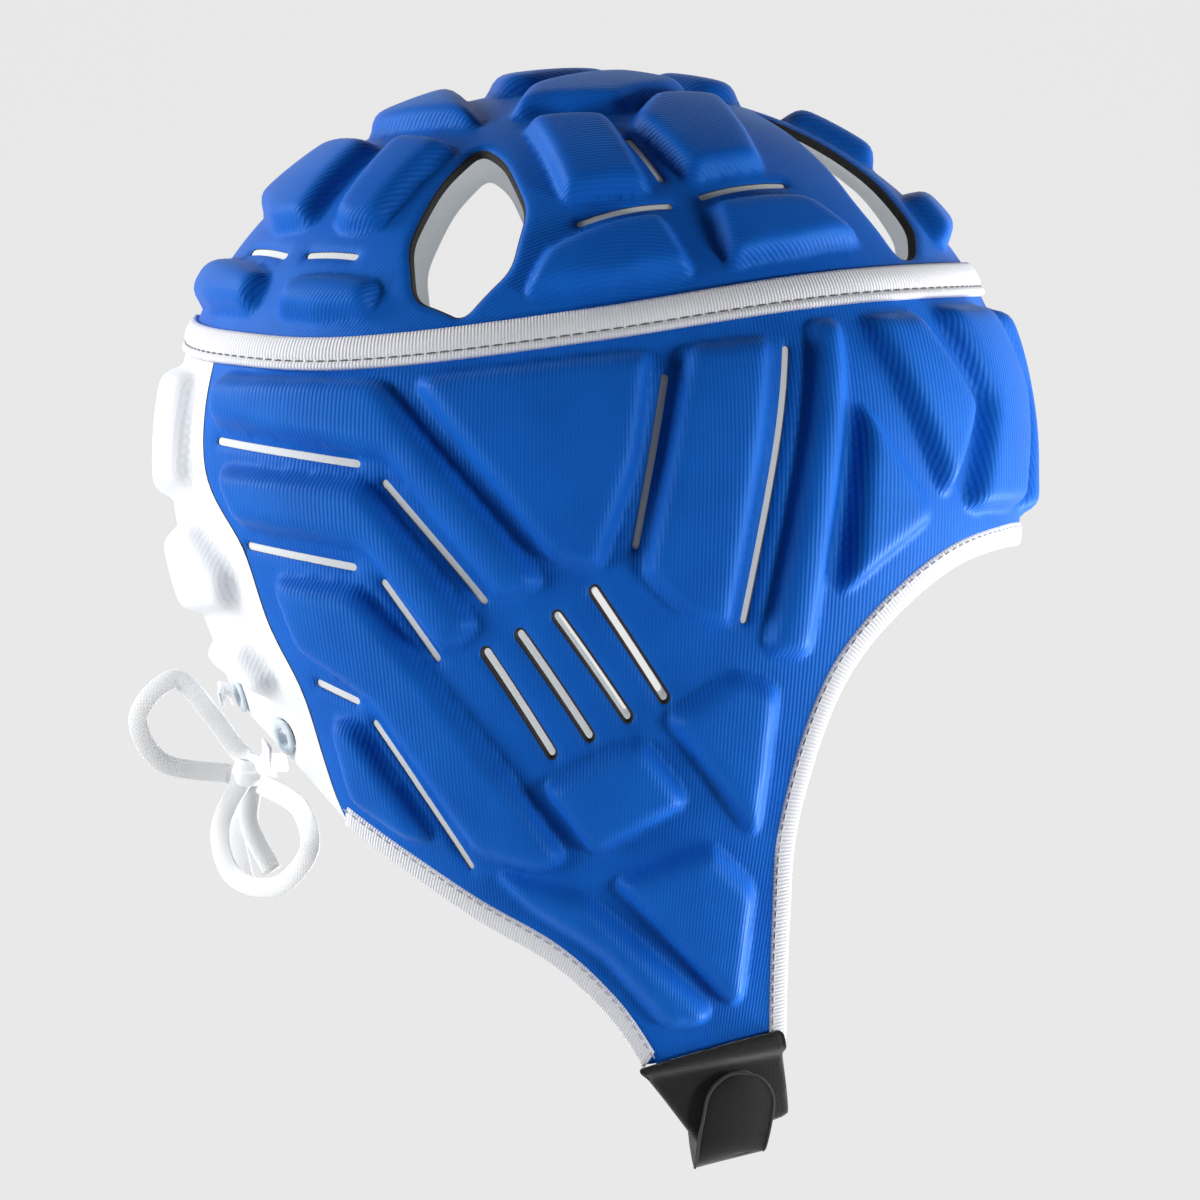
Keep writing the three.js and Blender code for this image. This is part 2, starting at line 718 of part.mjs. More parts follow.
function napePanel() {
  const rear = edge(rearJoint).map(([turn, drop]) => [turn + (1.5 * seamGap) / arcPerDegree, drop]);
  const lower = edge(lowerEdge.filter(({ turn }) => turn >= rear.at(-1)[0] - 1));
  const half = [...underSeam(rear[0][0], 180).reverse(), ...rear.slice(1), ...lower.reverse().slice(1)];
  const outline = [...half, ...acrossNape(half).slice(1, -1)].map(bandFlat);
  let body = plate(new THREE.Shape(outline), 0, sheetTop);
  for (const { corners } of napePads) {
    body = body.add(pad(corners.map(bandFlat))).add(pad(acrossNape(corners).map(bandFlat)));
  }
  const holeRadius = eyeletBore / 2 + eyeletWall + eyeletRoom;
  for (const { turn, drop } of eyelets) {
    for (const place of [[turn, drop], [360 - turn, drop]].map(bandFlat)) {
      const hole = new THREE.Shape().absarc(place.x, place.y, holeRadius, 0, 2 * Math.PI);
      body = body.subtract(plate(hole, -cutMargin, sheetTop + cutMargin, ringSides));
    }
  }
  return bent(body, bendBand, bandSteepness);
}

function seamTape() {
  const half = seamTapeWidth / 2;
  const section = [[-half, tapeLow], [half, tapeLow], [half, tapeTop], [-half, tapeTop]];
  const turns = Array.from({ length: 2 * tapeStations }, (_, i) => -180 + (180 * i) / tapeStations);
  return tape(turns.map((turn) => [turn, seamDrop(Math.abs(turn))]), section, true);
}

// The tape folded over a raw edge, in [across, out]
const foldLow = -layerGap - tapeThickness;
const foldEdge = seamGap;
const foldSection = [
  [-foldLeg, foldLow],
  [foldEdge + tapeThickness, foldLow],
  [foldEdge + tapeThickness, tapeTop],
  [-foldLeg, tapeTop],
  [-foldLeg, tapeLow],
  [foldEdge, tapeLow],
  [foldEdge, foldLow + tapeThickness],
  [-foldLeg, foldLow + tapeThickness],
];

function faceTape() {
  const right = edge(faceEdge);
  return tape([...mirrored(right).slice(0, -1), ...right], foldSection, false);
}

function lowerTape() {
  const rows = lowerEdge.filter(({ turn }) => turn <= rearJoint.at(-1).turn);
  return tape(edge(rows).reverse(), foldSection, false);
}

function chinPatchPiece() {
  const shape = roundedShape(chinPatch.map(bandFlat), patchCornerRadius);
  return bent(plate(shape, patchLow, patchLow + patchThickness, 2), bendBand, bandSteepness);
}

// The strap from its round end on the right patch, under the chin and up to the left patch
function chinStrap() {
  const out = patchLow + patchThickness + layerGap + strapThickness / 2;
  const backward = new THREE.Vector3(0, -1, 0);
  const onPatch = strapDrops.map((drop) => {
    const level = levelAt(drop * wholeDepth);
    const across = hollowPoint(strapTurn - 1, level).sub(hollowPoint(strapTurn + 1, level)).normalize();
    return { at: headPoint(strapTurn, level, out), across };
  });
  const last = onPatch.at(-1);
  const under = strapUnder.map(({ side, sag }) => ({
    at: new THREE.Vector3(last.at.x * side, last.at.y, last.at.z - strapSag * sag),
    across: last.across.clone().lerp(backward, 1 - side).normalize(),
  }));
  const middle = { at: new THREE.Vector3(0, last.at.y, last.at.z - strapSag), across: backward };
  const right = [...onPatch, ...under];
  const left = right.map(({ at, across }) => ({ at: otherSide(at), across: otherSide(across) }));
  const places = [...right, middle, ...left.reverse()];
  const widths = places.map((_, i) => strapWidth * (tabWidths[i] ?? 1));
  return ribbon(places.map((place, i) => ({ ...place, width: widths[i] })), strapThickness);
}

function eyelet() {
  const barrel = eyeletBore / 2 + eyeletWall;
  const top = tapeLow + eyeletWall;
  const profile = [
    [eyeletBore / 2, 0],
    [barrel, 0],
    [barrel, tapeLow],
    [barrel + eyeletFlange, tapeLow],
    [barrel + eyeletFlange, top],
    [eyeletBore / 2, top],
    [eyeletBore / 2, 0],
  ].map(([radius, height]) => new THREE.Vector2(radius, height));
  return welded(new THREE.LatheGeometry(profile, ringSides).rotateX(Math.PI / 2));
}

// Turns a piece made along +Z to stand square on the head form
function seated(mesh, turn, drop) {
  const level = levelAt(drop * wholeDepth);
  const foot = headPoint(turn, level, 0);
  mesh.position.copy(foot);
  const normal = headPoint(turn, level, 1).sub(foot).normalize();
  mesh.quaternion.setFromUnitVectors(new THREE.Vector3(0, 0, 1), normal);
}

// The left copy of a piece made for the right side
function leftCopy(geometry) {
  const flipped = geometry.clone().scale(-1, 1, 1);
  const order = Array.from(flipped.index.array);
  for (let i = 0; i < order.length; i += 3) {
    [order[i], order[i + 1]] = [order[i + 1], order[i]];
  }
  flipped.setIndex(order);
  return flipped;
}

add("crown", crown(), blueKnit);
add("band", band(), blueKnit);
add("nape_panel", napePanel(), whiteKnit);
add("crown_binding", seamTape(), whiteTape);
add("face_binding", faceTape(), whiteTape);

for (const [name, side] of [["right", 1], ["left", -1]]) {
  const onSide = (geometry) => (side === 1 ? geometry : leftCopy(geometry));
  add(`lower_binding_${name}`, onSide(lowerTape()), whiteTape);
  add(`chin_patch_${name}`, onSide(chinPatchPiece()), blackLoop);
  for (const { name: which, turn, drop } of eyelets) {
    seated(add(`${which}_${name}`, eyelet(), greyPlastic), side === 1 ? turn : 360 - turn, drop);
  }
}
add("chin_strap", chinStrap(), blackLoop);

// The lace

const placed = ([turn, drop, out]) => headPoint(turn, levelAt(drop * wholeDepth), out);
const knotPlace = placed([knot.turn, knot.drop, knot.out]);
const fromKnot = ([ahead, up, right]) => {
  return new THREE.Vector3(-right, -ahead, up).multiplyScalar(headLength).add(knotPlace);
};
const laceOut = tapeLow + eyeletWall + seamGap;
const laceIn = -seamGap - laceDiameter / 2;

const atKnot = (point) => {
  const reach = knotSize / 2 + seamGap;
  return point.clone().sub(knotPlace).setLength(reach).add(knotPlace);
};

for (const { name, points } of bow) {
  const route = points.map(fromKnot);
  const isLoop = name.endsWith("loop");
  const last = isLoop ? atKnot(route.at(-1)) : route.at(-1);
  add(name, cord([atKnot(route[0]), ...route.slice(1, -1), last]), whiteTape);
}
const [upperEyelet, lowerEyelet] = eyelets;
const onNeck = laceRun.map(placed);
const run = [atKnot(onNeck[0]), ...onNeck.slice(1), placed([lowerEyelet.turn, lowerEyelet.drop, laceOut])];
const across = [[upperEyelet.turn, upperEyelet.drop, laceOut], ...laceAcross].map(placed);
const inside = [upperEyelet, lowerEyelet].map(({ turn, drop }) => placed([turn, drop, laceIn]));
add("lace_right_run", cord(run), whiteTape);
add("lace_left_run", cord(run.map(otherSide)), whiteTape);
add("lace_across", cord([...across, ...across.map(otherSide).reverse()]), whiteTape);
add("lace_inside_right", cord(inside), whiteTape);
add("lace_inside_left", cord(inside.map(otherSide)), whiteTape);
const knotBall = welded(new THREE.SphereGeometry(knotSize / 2, 10, 7));
add("lace_knot", knotBall, whiteTape).position.copy(knotPlace);

export default cap;
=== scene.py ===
# A rugby scrum cap of padded knit, in the form that it has on a head.
# Metres, +Z up, the face looks along -Y and the wearer's right is -X. The origin is the top of the hollow.

import math

import bpy
import numpy as np
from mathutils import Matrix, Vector
from mathutils.geometry import delaunay_2d_cdt


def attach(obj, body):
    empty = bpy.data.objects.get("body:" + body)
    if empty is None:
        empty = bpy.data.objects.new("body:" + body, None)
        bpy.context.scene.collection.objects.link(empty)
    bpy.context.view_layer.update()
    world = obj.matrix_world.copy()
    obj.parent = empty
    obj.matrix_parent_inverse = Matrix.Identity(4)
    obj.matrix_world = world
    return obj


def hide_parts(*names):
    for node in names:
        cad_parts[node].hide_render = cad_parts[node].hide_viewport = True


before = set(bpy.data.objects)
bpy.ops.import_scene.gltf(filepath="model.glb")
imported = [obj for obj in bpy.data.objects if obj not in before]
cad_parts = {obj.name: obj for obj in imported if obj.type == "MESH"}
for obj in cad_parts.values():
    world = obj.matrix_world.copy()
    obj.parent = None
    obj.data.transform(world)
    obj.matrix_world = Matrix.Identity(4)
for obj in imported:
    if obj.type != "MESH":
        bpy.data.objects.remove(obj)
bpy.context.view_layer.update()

# The camera and the studio.
# A long lens at the height of the ears, a plain pale sweep far behind the cap, and large soft lights
# from before the face, from behind the nape and from below, which leave the upper sides of the pads dark.

view_distance = 1.6
view_width = 0.2892
view_middle = (0.0, -0.0012, -0.1193)

camera_data = bpy.data.cameras.new("camera")
camera_data.sensor_width = 36
camera_data.lens = camera_data.sensor_width * view_distance / view_width
camera = bpy.data.objects.new("camera", camera_data)
camera.location = (-view_distance, view_middle[1], view_middle[2])
camera.rotation_euler = (math.radians(90), 0, math.radians(-90))
bpy.context.collection.objects.link(camera)
bpy.context.scene.camera = camera
bpy.context.scene.view_settings.view_transform = "Standard"

# The place, size and power of each light
studio_lights = {
    "key_light": ((-0.8, -1.35, -0.28), (0.32, 0.32), 15),
    "face_light": ((-0.05, -1.3, -0.15), (0.4, 0.9), 5),
    "nape_light": ((-0.5, 1.15, -0.15), (0.4, 0.5), 11),
    "crown_light": ((0.1, 1.1, 0.45), (0.4, 0.4), 8),
    "inner_light": ((0.2, -0.9, -0.55), (0.4, 0.4), 12),
}
for name, (place, size, power) in studio_lights.items():
    data = bpy.data.lights.new(name, "AREA")
    data.shape = "RECTANGLE"
    data.size, data.size_y = size
    data.energy = power
    light = bpy.data.objects.new(name, data)
    light.location = place
    aim = Vector(view_middle) - Vector(place)
    light.rotation_euler = aim.to_track_quat("-Z", "Y").to_euler()
    bpy.context.collection.objects.link(light)

room_colour = (0.9, 0.92, 0.95, 1)
room_strength = 0.08
world = bpy.data.worlds.new("studio")
world.use_nodes = True
room = world.node_tree.nodes["Background"]
room.inputs["Color"].default_value = room_colour
room.inputs["Strength"].default_value = room_strength
bpy.context.scene.world = world

sweep_floor = -1.1
sweep_front = -0.8
sweep_wall = 1.6
sweep_top = 3.0
sweep_radius = 0.5
sweep_half_width = 4.0
sweep_steps = 12
paper_tone = 0.1
paper_glow = 0.72


def sweep_profile():
    profile = [(sweep_front, sweep_floor), (sweep_wall - sweep_radius, sweep_floor)]
    for i in range(1, sweep_steps + 1):
        angle = math.radians(90 * i / sweep_steps)
        across = sweep_wall - sweep_radius + sweep_radius * math.sin(angle)
        profile.append((across, sweep_floor + sweep_radius * (1 - math.cos(angle))))
    return profile + [(sweep_wall, sweep_top)]


sweep_points = [(x, side * sweep_half_width, z) for x, z in sweep_profile() for side in (-1, 1)]
sweep_faces = [(2 * i, 2 * i + 2, 2 * i + 3, 2 * i + 1) for i in range(len(sweep_profile()) - 1)]
sweep_mesh = bpy.data.meshes.new("sweep")
sweep_mesh.from_pydata(sweep_points, [], sweep_faces)
sweep_mesh.shade_smooth()
sweep = bpy.data.objects.new("sweep", sweep_mesh)
bpy.context.collection.objects.link(sweep)
sweep_paper = bpy.data.materials.new("pale_paper")
sweep_paper.use_nodes = True
paper_shader = sweep_paper.node_tree.nodes["Principled BSDF"]
paper_shader.inputs["Base Color"].default_value = (paper_tone, paper_tone, paper_tone, 1)
paper_shader.inputs["Roughness"].default_value = 1
paper_shader.inputs["Emission Color"].default_value = (1, 1, 1, 1)
paper_shader.inputs["Emission Strength"].default_value = paper_glow
sweep_mesh.materials.append(sweep_paper)

# The lace.
# One flat braided lace runs through the four eyelets of the nape and is tied in a bow under them.
# Its two free halves leave the lower eyelets, meet in the knot, and each makes a loop and an end.
# Everything on the cap lies on the head form, so that form comes first.

head_length = 0.196
head_width = 0.152
crown_height = 0.086
lower_depth = 0.174
whole_depth = crown_height + lower_depth
profile_roundness = 2.1
plan_roundness = 2.2
arc_per_degree = math.radians((head_length + head_width) / 4)

# The hollow below its widest level: depth as a share of lower_depth, reach to the front, back and side
levels = {
    "depth": [0, 0.14, 0.28, 0.43, 0.57, 0.71, 0.86, 1],
    "front": [1, 1, 0.98, 0.94, 0.89, 0.83, 0.755, 0.675],
    "back": [1, 0.96, 0.87, 0.775, 0.695, 0.62, 0.56, 0.51],
    "side": [1, 0.985, 0.95, 0.895, 0.815, 0.735, 0.66, 0.565],
}


def section_reach(column, depth):
    """One column of the levels at a depth between them, on a smooth curve through its values."""
    marks, values = np.array(levels["depth"]), np.array(levels[column])
    padded = np.concatenate([[values[1]], values, [2 * values[-1] - values[-2]]])
    i = np.clip(np.searchsorted(marks, depth, side="right") - 1, 0, len(marks) - 2)
    t = (depth - marks[i]) / (marks[i + 1] - marks[i])
    before, start, end, after = padded[i], padded[i + 1], padded[i + 2], padded[i + 3]
    second = (2 * before - 5 * start + 4 * end - after) * t**2
    third = (3 * start - before - 3 * end + after) * t**3
    return 0.5 * (2 * start + (end - before) * t + second + third)


def hollow_point(turn, level):
    """A point on the hollow: the turn is in degrees from the face to the right, and the level is 0 at the
    top, 1 at the widest and 2 at the lower end."""
    angle = np.radians(np.minimum(level, 1) * 90)
    upper = np.sin(angle) ** (2 / profile_roundness)
    rise = np.maximum(np.cos(angle), 0) ** (2 / profile_roundness)
    below = np.maximum(level - 1, 0)
    high = level <= 1
    drop = np.where(high, crown_height * (1 - rise), crown_height + below * lower_depth)
    ahead, aside = np.cos(np.radians(turn)), np.sin(np.radians(turn))
    column = np.where(ahead > 0, section_reach("front", below), section_reach("back", below))
    length = head_length / 2 * np.where(high, upper, column)
    width = head_width / 2 * np.where(high, upper, section_reach("side", below))
    tiny = 1e-9
    ahead_share = (abs(ahead) / (length + tiny)) ** plan_roundness
    aside_share = (abs(aside) / (width + tiny)) ** plan_roundness
    radius = (ahead_share + aside_share) ** (-1 / plan_roundness)
    return np.stack([-radius * aside, -radius * ahead, -drop], axis=-1)


def head_point(turn, level, out):
    """A point that stands out from the hollow, along its normal."""
    turn, level, out = np.broadcast_arrays(*(np.asarray(v, float) for v in (turn, level, out)))
    step = 1e-3
    safe = np.maximum(level, 2 * step)
    round_it = hollow_point(turn + 1, safe) - hollow_point(turn - 1, safe)
    down = hollow_point(turn, safe + step) - hollow_point(turn, safe - step)
    normal = np.cross(round_it, down)
    normal /= np.linalg.norm(normal, axis=-1, keepdims=True)
    normal = np.where((level < 2 * step)[..., None], (0, 0, 1), normal)
    return hollow_point(turn, level) + normal * out[..., None]


def level_at(drop):
    """The level of the hollow at a drop below its top, in metres."""
    share = np.clip(1 - drop / crown_height, 0, 1) ** (profile_roundness / 2)
    upper = np.degrees(np.arccos(share)) / 90
    return np.where(drop > crown_height, 1 + (drop - crown_height) / lower_depth, upper)


def placed(turn, drop, out):
    """A point by its turn, its drop as a share of the whole depth, and how far out it stands."""
    return head_point(turn, level_at(np.asarray(drop) * whole_depth), out)


millimetres = 1000
sheet_thickness = 0.004
layer_gap = 0.0007
seam_gap = 0.0003
lace_width = 0.0048
lace_thickness = 0.0009
knot_size = 0.0084
knot_place = placed(180, 0.61, 0.007)
end_root = 0.003
run_facing = (-0.35, 0.9, -0.2)
loop_facing = (-1, 0.25, 0.1)
end_facing = (-1, 0.2, 0)
wrap_across = 0.0026
wrap_deep = 0.0031
wrap_slant = 0.002
wrap_apart = 0.0006
wrap_thickness = 0.0013
wrap_width_share = 0.85
held_width_share = 0.8
eyelets = {"upper_eyelet": (166, 0.54), "lower_eyelet": (152, 0.578)}

# Points of the bow in shares of the head's length from the knot: ahead, up, to the right
bow = {
    "upper_loop": [
        (-0.009, 0.022, 0), (-0.045, 0.07, 0.01), (-0.09, 0.115, 0.02),
        (-0.135, 0.07, 0.02), (-0.11, 0.015, 0.01), (-0.024, -0.002, 0),
    ],
    "lower_loop": [
        (-0.014, -0.02, 0.006), (-0.034, -0.07, 0.03), (-0.015, -0.125, 0.07), (0.04, -0.135, 0.11),
        (0.08, -0.09, 0.14), (0.07, -0.045, 0.11), (0.018, -0.016, 0.014),
    ],
    "right_end": [(0.007, -0.024, -0.002), (0, -0.06, 0.005), (0.03, -0.12, 0.03)],
    "left_end": [(-0.005, -0.013, -0.022), (-0.02, -0.07, -0.05), (-0.01, -0.13, -0.06)],
}
# The right run of the lace from the knot to the lower eyelet, in turn, drop and height in millimetres
lace_run = [(176.8, 0.604, 3.4), (168, 0.607, 3), (159, 0.606, 4.5), (153.5, 0.592, 8.5), (152, 0.578, 8.8)]
lace_across = [(166, 0.54, 8.8), (171, 0.535, 6.8), (176, 0.533, 6.5)]


def from_knot(points):
    ahead, up, right = np.array(points).T
    return np.stack([-right, -ahead, up], axis=1) * head_length + knot_place


def smooth_path(points, step=0.0012):
    """A centripetal curve through the points, with a point about every step."""
    points = np.asarray(points, float)
    ends = [2 * points[0] - points[1], *points, 2 * points[-1] - points[-2]]
    path = []
    for p0, p1, p2, p3 in zip(ends, ends[1:], ends[2:], ends[3:]):
        t0 = 0
        t1 = t0 + np.linalg.norm(p1 - p0) ** 0.5
        t2 = t1 + np.linalg.norm(p2 - p1) ** 0.5
        t3 = t2 + np.linalg.norm(p3 - p2) ** 0.5
        count = max(2, round(np.linalg.norm(p2 - p1) / step))
        for t in np.linspace(t1, t2, count, endpoint=False):
            a1 = p0 + (p1 - p0) * (t - t0) / (t1 - t0)
            a2 = p1 + (p2 - p1) * (t - t1) / (t2 - t1)
            a3 = p2 + (p3 - p2) * (t - t2) / (t3 - t2)
            b1 = a1 + (a2 - a1) * (t - t0) / (t2 - t0)
            b2 = a2 + (a3 - a2) * (t - t1) / (t3 - t1)
            path.append(b1 + (b2 - b1) * (t - t1) / (t2 - t1))
    return np.array([*path, points[-1]])


def new_piece(name, points, faces, materials):
    mesh = bpy.data.meshes.new(name)
    mesh.from_pydata(points, [], faces)
    for material in materials:
        mesh.materials.append(material)
    mesh.shade_smooth()
    mesh.update()
    piece = bpy.data.objects.new(name, mesh)
    bpy.context.collection.objects.link(piece)
    return piece


def tube_faces(count, size, ring=False):
    """The faces between the sections of a swept piece. Its two ends are closed, or meet in a ring."""
    faces = []
    for i in range(count if ring else count - 1):
        following = (i + 1) % count
        for j in range(size):
            k = (j + 1) % size
            faces.append((i * size + j, i * size + k, following * size + k, following * size + j))
    if not ring:
        faces.append(tuple(range(size))[::-1])
        faces.append(tuple((count - 1) * size + j for j in range(size)))
    return faces


def way_along(path):
    """How far each point lies from the first, along the path."""
    return np.concatenate([[0], np.cumsum(np.linalg.norm(np.diff(path, axis=0), axis=1))])


def swept(name, path, facing, section, material):
    """A section, closed, swept along a path. Facing is the direction that its second axis points in.
    The UV map has the way along the path and round the section, in millimetres."""
    path = np.asarray(path, float)
    tangent = np.gradient(path, axis=0)
    tangent /= np.linalg.norm(tangent, axis=1, keepdims=True)
    facing = np.broadcast_to(np.asarray(facing, float), path.shape)
    side = np.cross(tangent, facing)
    side /= np.linalg.norm(side, axis=1, keepdims=True)
    out = np.cross(side, tangent)
    section = np.asarray(section, float)
    count, size = len(path), len(section)
    rings = path[:, None] + side[:, None] * section[None, :, :1] + out[:, None] * section[None, :, 1:]
    piece = new_piece(name, rings.reshape(-1, 3).tolist(), tube_faces(count, size), [material])
    mesh = piece.data
    along = way_along(path) * millimetres
    girth = way_along(np.vstack([section, section[:1]])) * millimetres
    uv = mesh.uv_layers.new(name="cloth")
    for polygon in mesh.polygons:
        for corner, loop in enumerate(polygon.loop_indices):
            vertex = mesh.loops[loop].vertex_index
            ring, j = divmod(vertex, size)
            wraps = corner in (1, 2) and j == 0 and polygon.index < (count - 1) * size
            uv.data[loop].uv = (along[ring], girth[size] if wraps else girth[j])
    return piece


def flat_oval(width, thickness, count=16):
    """A flat section with round edges, turned so that a swept piece has its faces outwards."""
    radius = thickness / 2
    points = []
    for i in range(count):
        angle = 2 * math.pi * i / count
        upright = abs(math.cos(angle)) < 1e-6
        shift = 0 if upright else math.copysign(width / 2 - radius, math.cos(angle))
        points.append((shift + radius * math.cos(angle), radius * math.sin(angle)))
    return points[::-1]


def cloth_material(name, colour, roughness, sheen=0.0, sheen_colour=(1, 1, 1)):
    material = bpy.data.materials.new(name)
    material.use_nodes = True
    shader = material.node_tree.nodes["Principled BSDF"]
    shader.inputs["Base Color"].default_value = (*colour, 1)
    shader.inputs["Roughness"].default_value = roughness
    shader.inputs["Sheen Weight"].default_value = sheen
    shader.inputs["Sheen Roughness"].default_value = 0.45
    shader.inputs["Sheen Tint"].default_value = (*sheen_colour, 1)
    shader.inputs["Specular IOR Level"].default_value = 0.3
    shader.inputs["Specular Tint"].default_value = (*sheen_colour, 1)
    return material, material.node_tree, shader


def node(tree, kind, **values):
    """A node with its plain settings and, by name, its inputs."""
    made = tree.nodes.new(kind)
    for key, value in values.items():
        if key in made.inputs:
            made.inputs[key].default_value = value
        else:
            setattr(made, key, value)
    return made


def two_tones(tree, dark, light):
    """A mix from a dark colour at 0 to a light one at 1. Its factor is input 0, its colour output 2."""
    tones = node(tree, "ShaderNodeMix", data_type="RGBA")
    tones.inputs[6].default_value = (*dark, 1)
    tones.inputs[7].default_value = (*light, 1)
    return tones


def wire(tree, links):
    """Links from an output of one node to an input of another, by name or number."""
    for source, output, target, entry in links:
        tree.links.new(source.outputs[output], target.inputs[entry])


def braid_material():
    """Two sets of threads that cross, slanting to both edges of the lace."""
    material, tree, shader = cloth_material("lace_braid", (0.93, 0.94, 0.95), 0.6, 0.3)
    uv = node(tree, "ShaderNodeUVMap", uv_map="cloth")
    slant = node(tree, "ShaderNodeMapping")
    slant.inputs["Rotation"].default_value = (0, 0, math.radians(38))
    threads = {"wave_type": "BANDS", "Scale": 0.42, "Distortion": 0.6}
    weave = node(tree, "ShaderNodeTexWave", bands_direction="X", **threads)
    other = node(tree, "ShaderNodeTexWave", bands_direction="Y", **threads)
    both = node(tree, "ShaderNodeMath", operation="MULTIPLY")
    bump = node(tree, "ShaderNodeBump", Strength=0.2, Distance=0.0002)
    wire(tree, [
        (uv, "UV", slant, "Vector"), (slant, "Vector", weave, "Vector"),
        (slant, "Vector", other, "Vector"), (weave, "Fac", both, 0), (other, "Fac", both, 1),
        (both, "Value", bump, "Height"), (bump, "Normal", shader, "Normal"),
    ])
    return material


lace_braid = braid_material()


def at_knot(point, reach=knot_size / 2 + seam_gap):
    """The place on the way from the knot's middle to a point where the lace comes out of the knot."""
    away = np.asarray(point) - knot_place
    return knot_place + away / np.linalg.norm(away) * reach


def mirrored_points(points):
    return np.asarray(points) * (-1, 1, 1)


run_turn, run_drop, run_out = np.array(lace_run).T
right_run = placed(run_turn, run_drop, run_out / millimetres)[::-1]
left_run = mirrored_points(right_run)
halves = {
    "lace_right": (right_run, from_knot(bow["upper_loop"]), ["lace_right_run", "lace_upper_loop"]),
    "lace_left": (left_run, from_knot(bow["lower_loop"]), ["lace_left_run", "lace_lower_loop"]),
}
lace_section = flat_oval(lace_width, lace_thickness)
lace_pieces = {}
lace_paths = {}
for name, (run, loop, nodes) in halves.items():
    route = [*run[:-1], at_knot(run[-1]), at_knot(loop[0]), *loop[1:-1], at_knot(loop[-1])]
    path = smooth_path(route)
    from_middle = np.linalg.norm(path - knot_place, axis=1)
    past_knot = np.arange(len(path)) > from_middle.argmin()
    facing = np.where(past_knot[:, None], loop_facing, run_facing)
    lace_paths[name] = path
    lace_pieces[name] = swept(name, path, facing, lace_section, lace_braid)
    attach(lace_pieces[name], "root")
    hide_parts(*nodes)

for name in ("right_end", "left_end"):
    points = from_knot(bow[name])
    path = smooth_path([at_knot(points[0], end_root), *points[1:]])
    lace_pieces[name] = swept(f"lace_{name}_tip", path, end_facing, lace_section, lace_braid)
    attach(lace_pieces[name], "root")
    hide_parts(f"lace_{name}")


def knot_wraps(steps=12):
    """An overhand knot pulled tight, as two wraps of the lace round the middle."""
    wraps = []
    for turned, tilt, rise in ((0, 0.5, -wrap_apart), (math.pi / 2, -0.4, wrap_apart)):
        for i in range(steps + 1):
            angle = 2 * math.pi * i / steps
            slant = tilt * wrap_slant * math.cos(angle + turned)
            wraps.append((wrap_across * math.cos(angle), wrap_deep * math.sin(angle), slant + rise))
    return np.array(wraps)


knot_path = smooth_path(knot_wraps() + knot_place, 0.0008)
knot_facing = knot_path - knot_place + (1e-5, 1e-5, 0)
knot_section = flat_oval(lace_width * wrap_width_share, wrap_thickness)
lace_knot = swept("lace_knot_wraps", knot_path, knot_facing, knot_section, lace_braid)
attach(lace_knot, "root")
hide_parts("lace_knot")

for name, tip in (("lace_right", "right_end"), ("lace_left", "left_end")):
    path = lace_paths[name]

# The held stretches: across the nape between the upper eyelets, and inside from eyelet to eyelet
upper, lower = eyelets["upper_eyelet"], eyelets["lower_eyelet"]
inside_out = -0.0018
held_section = flat_oval(lace_width * held_width_share, lace_thickness)
across_turn, across_drop, across_out = np.array(lace_across).T
half_across = placed(across_turn, across_drop, across_out / millimetres)
whole_across = [*half_across, *mirrored_points(half_across)[::-1]]
inside_turn, inside_drop = np.array([upper, lower]).T
inside = placed(inside_turn, inside_drop, inside_out)
held = {
    "lace_across": (smooth_path(whole_across), (0, 1, -0.3)),
    "lace_inside_right": (smooth_path(inside), (0.5, -1, 0)),
    "lace_inside_left": (smooth_path(mirrored_points(inside)), (-0.5, -1, 0)),
}
for name, (path, facing) in held.items():
    piece = swept(f"{name}_strip", path, facing, held_section, lace_braid)
    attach(piece, "root")
    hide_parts(name)

# The padded panels.
# A knit is laminated over foam that is moulded into pads, with a grey lining laid on its inner side.
# Each panel is cut out and padded flat, here as in the making, and then bent over the head form.
# The cut edges of slots and vents show the foam.

pad_height = 0.0048
pad_softness = 0.0019
pad_foot = 0.46
panel_step = 0.00125
cut_step = 0.0009
cut_rings = [(0.0004, 1), (0.0010, 1), (0.0019, 2)]
rim_width = 0.0003
lining_overlap = 0.0004
lining_step = 0.004
lining_rings = [(0.0012, 1), (0.0028, 2)]

# How far the foam is pressed down, and over what distance: beside a vent, a slot, and under a folded tape
vent_press, vent_reach = 0.0011, 0.0022
slot_press, slot_reach = 0.0006, 0.002
bound_press, bound_reach = 0.0008, 0.006
# How far its inner side rises there
vent_lift, vent_lift_reach = 0.0017, 0.005
bound_lift = 0.0009

seam_line = [(0, 0.17), (45, 0.186), (90, 0.22), (130, 0.243), (155, 0.235), (180, 0.215)]
rear_joint = [
    (157.5, 0.24), (157, 0.34), (150, 0.41), (147.5, 0.48), (143.5, 0.54), (142, 0.6), (140.5, 0.655),
]
lower_edge = [
    (180, 0.55), (166, 0.56), (153, 0.597), (140.5, 0.655), (130, 0.69),
    (115, 0.737), (99, 0.778), (86, 0.827), (77.5, 0.872),
]
face_edge = [
    (0, 0.404), (16, 0.407), (30, 0.427), (42, 0.482), (49, 0.55), (52.5, 0.65), (51, 0.74), (47.5, 0.85),
]

